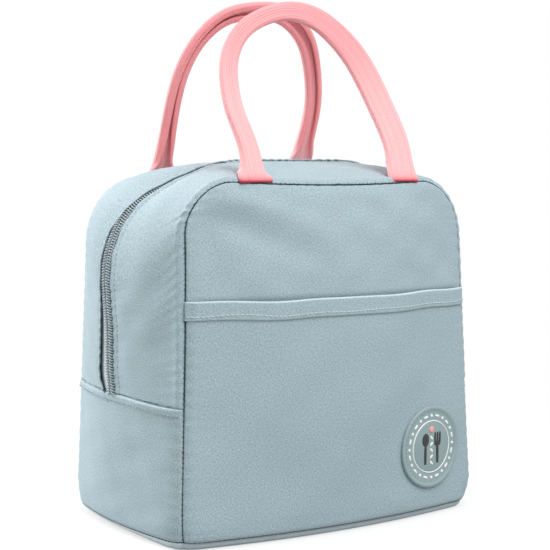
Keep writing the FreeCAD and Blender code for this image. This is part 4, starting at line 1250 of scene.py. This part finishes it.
# Domed shapes on the badge: each a superellipse with a rounded edge, given by place, half sizes, turn, power
# and the height of its base.
def domes(name, shapes, material, height):
    angle = wholeTurn(dome["columns"])
    share, rise = np.array(dome["share"])[:, None], np.array(dome["rise"])[:, None]
    one = np.concatenate([gridFaces(len(share), len(angle), True),
                          poleFaces(np.arange(len(angle)), len(share) * len(angle))])
    points, faces = [], []
    for a0, b0, halfLong, halfWide, turn, power, base in shapes:
        c, s = np.cos(angle), np.sin(angle)
        along = halfLong * np.sign(c) * np.abs(c) ** (2 / power)
        wide = halfWide * np.sign(s) * np.abs(s) ** (2 / power)
        a = a0 + share * (along * np.cos(turn) - wide * np.sin(turn))
        b = b0 + share * (along * np.sin(turn) + wide * np.cos(turn))
        faces.append(one + sum(len(p) for p in points))
        ring = onPocket(a, b, base + height * rise).reshape(-1, 3)
        points.append(np.concatenate([ring, [onPocket(a0, b0, base + height)]]))
    points, faces = np.concatenate(points), np.concatenate(faces)
    return makeObject(name, points, outwardFaces(points, faces, badgeMiddle), material, body="tub",
                      slot="badge_face_rubber")


upright = np.pi / 2
face = t + badge["face"]
dashes = []
for n, q in enumerate(wholeTurn(badge["dashes"])):
    place = (badge["dashRing"] * np.cos(q), badge["dashRing"] * np.sin(q))
    dashes.append((*place, *badge["dash" if n % 2 else "dot"], q + upright, badge["dashPower"],
                   t + badge["dashRise"]))
domes("badge_ring_dots", dashes, whiteRubber, badge["dashHeight"])
turned("badge_circle", onFace(badge["circle"]), whiteRubber, slot="badge_face_rubber")
left, right = -badge["cutleryX"], badge["cutleryX"]
spoon = [(left, 4.6, 4.4, 3.2, upright, 2, face), (left, -5.2, 6.2, 1.05, upright, 5, face)]
fork = [(right, -5.2, 6.2, 1.05, upright, 5, face), (right, 1.6, 2.9, 1.5, 0, 3, face)]
fork += [(right + d, 5.2, 3.8, 0.68, upright, 5, face) for d in (-2.2, 0, 2.2)]
domes("badge_cutlery", spoon + fork, blackRubber, badge["cutleryHeight"])
sprig = [(0, -10.4 + 4 * n, 1.7, 0.8, 0.7 if n % 2 else 2.4, 2, face) for n in range(badge["leaves"])]
domes("badge_sprig", sprig, whiteRubber, badge["leafHeight"])
berry = [(0, badge["berryZ"], badge["berry"], badge["berry"], 0, 2, face)]
domes("badge_berry", berry, pinkRubber, badge["berryHeight"])
angle = np.linspace(0, 2 * np.pi, 400)
line = onPocket(badge["stitchRing"] * np.cos(angle), badge["stitchRing"] * np.sin(angle),
                t + badge["stitchRise"])
stitchRow("badge_stitch", line, sameWay(line, [0.15, -1, 0]), 2.6, 1.8, 0.26, thread, body="tub")
print("badge made")

for name in ("zip_slider", "zip_pull"):
    metalPart = bpy.data.objects[name]
    metalPart.data.materials.clear()
    metalPart.data.materials.append(sliderMetal)

# Pale floor that fades to white, soft studio light from above and in front, and the camera at the
# photograph's place. Lengths here are metres.
studio = dict(
    floorHalf=6, bounce=(0.45, 0.45, 0.45), shown=(0.92, 0.92, 0.92), fadeFrom=0.12, fadeTo=0.50,
    fadeLow=0.62, sky=(0.98, 0.99, 1, 1), skyStrength=0.5, white=(1, 1, 1, 1), lens=92.6, sensor=36,
    clip=0.01, eye=(-0.500, -0.768, 0.2203), target=(0.0015, 0.0009, 0.1516),
    lights=[("light_top", (0.05, -0.10, 1.5), (0, 0, 0.1), 1, 6),
            ("light_left", (-0.8, 1.25, 0.6), (0, 0, 0.12), 0.8, 30),
            ("light_front", (0.02, -1.2, 1.4), (0, 0, 0.12), 1, 23)],
)


# Rays that look for the background: from the camera, off metal and through glass.
def seenRays(tree):
    names = ("Is Camera Ray", "Is Glossy Ray", "Is Transmission Ray")
    straight, mirrored, through = (tree.add("ShaderNodeLightPath", out=name) for name in names)
    return tree.math("MINIMUM", straight + mirrored + through, 1)


def floorLook(tree):
    seen = seenRays(tree)
    shade = mixColour(tree, seen, studio["bounce"], studio["shown"])
    matt = tree.add("ShaderNodeBsdfDiffuse", {}, {"Color": shade})
    white = tree.add("ShaderNodeEmission", {}, {"Color": studio["white"], "Strength": 1})
    away = tree.add("ShaderNodeVectorMath", {"operation": "LENGTH"}, {0: objectPlace(tree)}, 1)
    fade = tree.add("ShaderNodeMapRange", {"interpolation_type": "SMOOTHSTEP"},
                    {0: away, 1: studio["fadeFrom"], 2: studio["fadeTo"], 3: studio["fadeLow"], 4: 1})
    return tree.add("ShaderNodeMixShader", {}, {0: seen * fade, 1: matt, 2: white})


# Puts a part of the studio in place, looking at a target where one is given.
def stagePiece(name, data, place=(0, 0, 0), target=None):
    thing = bpy.data.objects.new(name, data)
    thing.location = place
    if target:
        thing.rotation_euler = (Vector(target) - Vector(place)).to_track_quat("-Z", "Y").to_euler()
    bpy.context.scene.collection.objects.link(thing)
    return thing


size = studio["floorHalf"]
floorMesh = bpy.data.meshes.new("floor")
corners = [(-size, -size, 0), (size, -size, 0), (size, size, 0), (-size, size, 0)]
floorMesh.from_pydata(corners, [], [(0, 1, 2, 3)])
floorMesh.materials.append(newMaterial("floor", floorLook))
stagePiece("floor", floorMesh)

world = bpy.data.worlds.new("studio")
world.use_nodes = True
world.node_tree.nodes.clear()
tree = Wire(world.node_tree)
sky = tree.add("ShaderNodeBackground", {}, {"Color": studio["sky"], "Strength": studio["skyStrength"]})
white = tree.add("ShaderNodeBackground", {}, {"Color": studio["white"], "Strength": 1})
shown = tree.add("ShaderNodeMixShader", {}, {0: seenRays(tree), 1: sky, 2: white})
tree.add("ShaderNodeOutputWorld", {}, {"Surface": shown})
bpy.context.scene.world = world

for name, place, target, width, energy in studio["lights"]:
    light = bpy.data.lights.new(name, "AREA")
    light.shape = "SQUARE"
    light.size = width
    light.energy = energy
    stagePiece(name, light, place, target)

camera = bpy.data.cameras.new("camera")
camera.lens = studio["lens"]
camera.sensor_width = studio["sensor"]
camera.clip_start = studio["clip"]
bpy.context.scene.camera = stagePiece("camera", camera, studio["eye"], studio["target"])
bpy.context.scene.view_settings.view_transform = "Standard"
print("light and camera set")
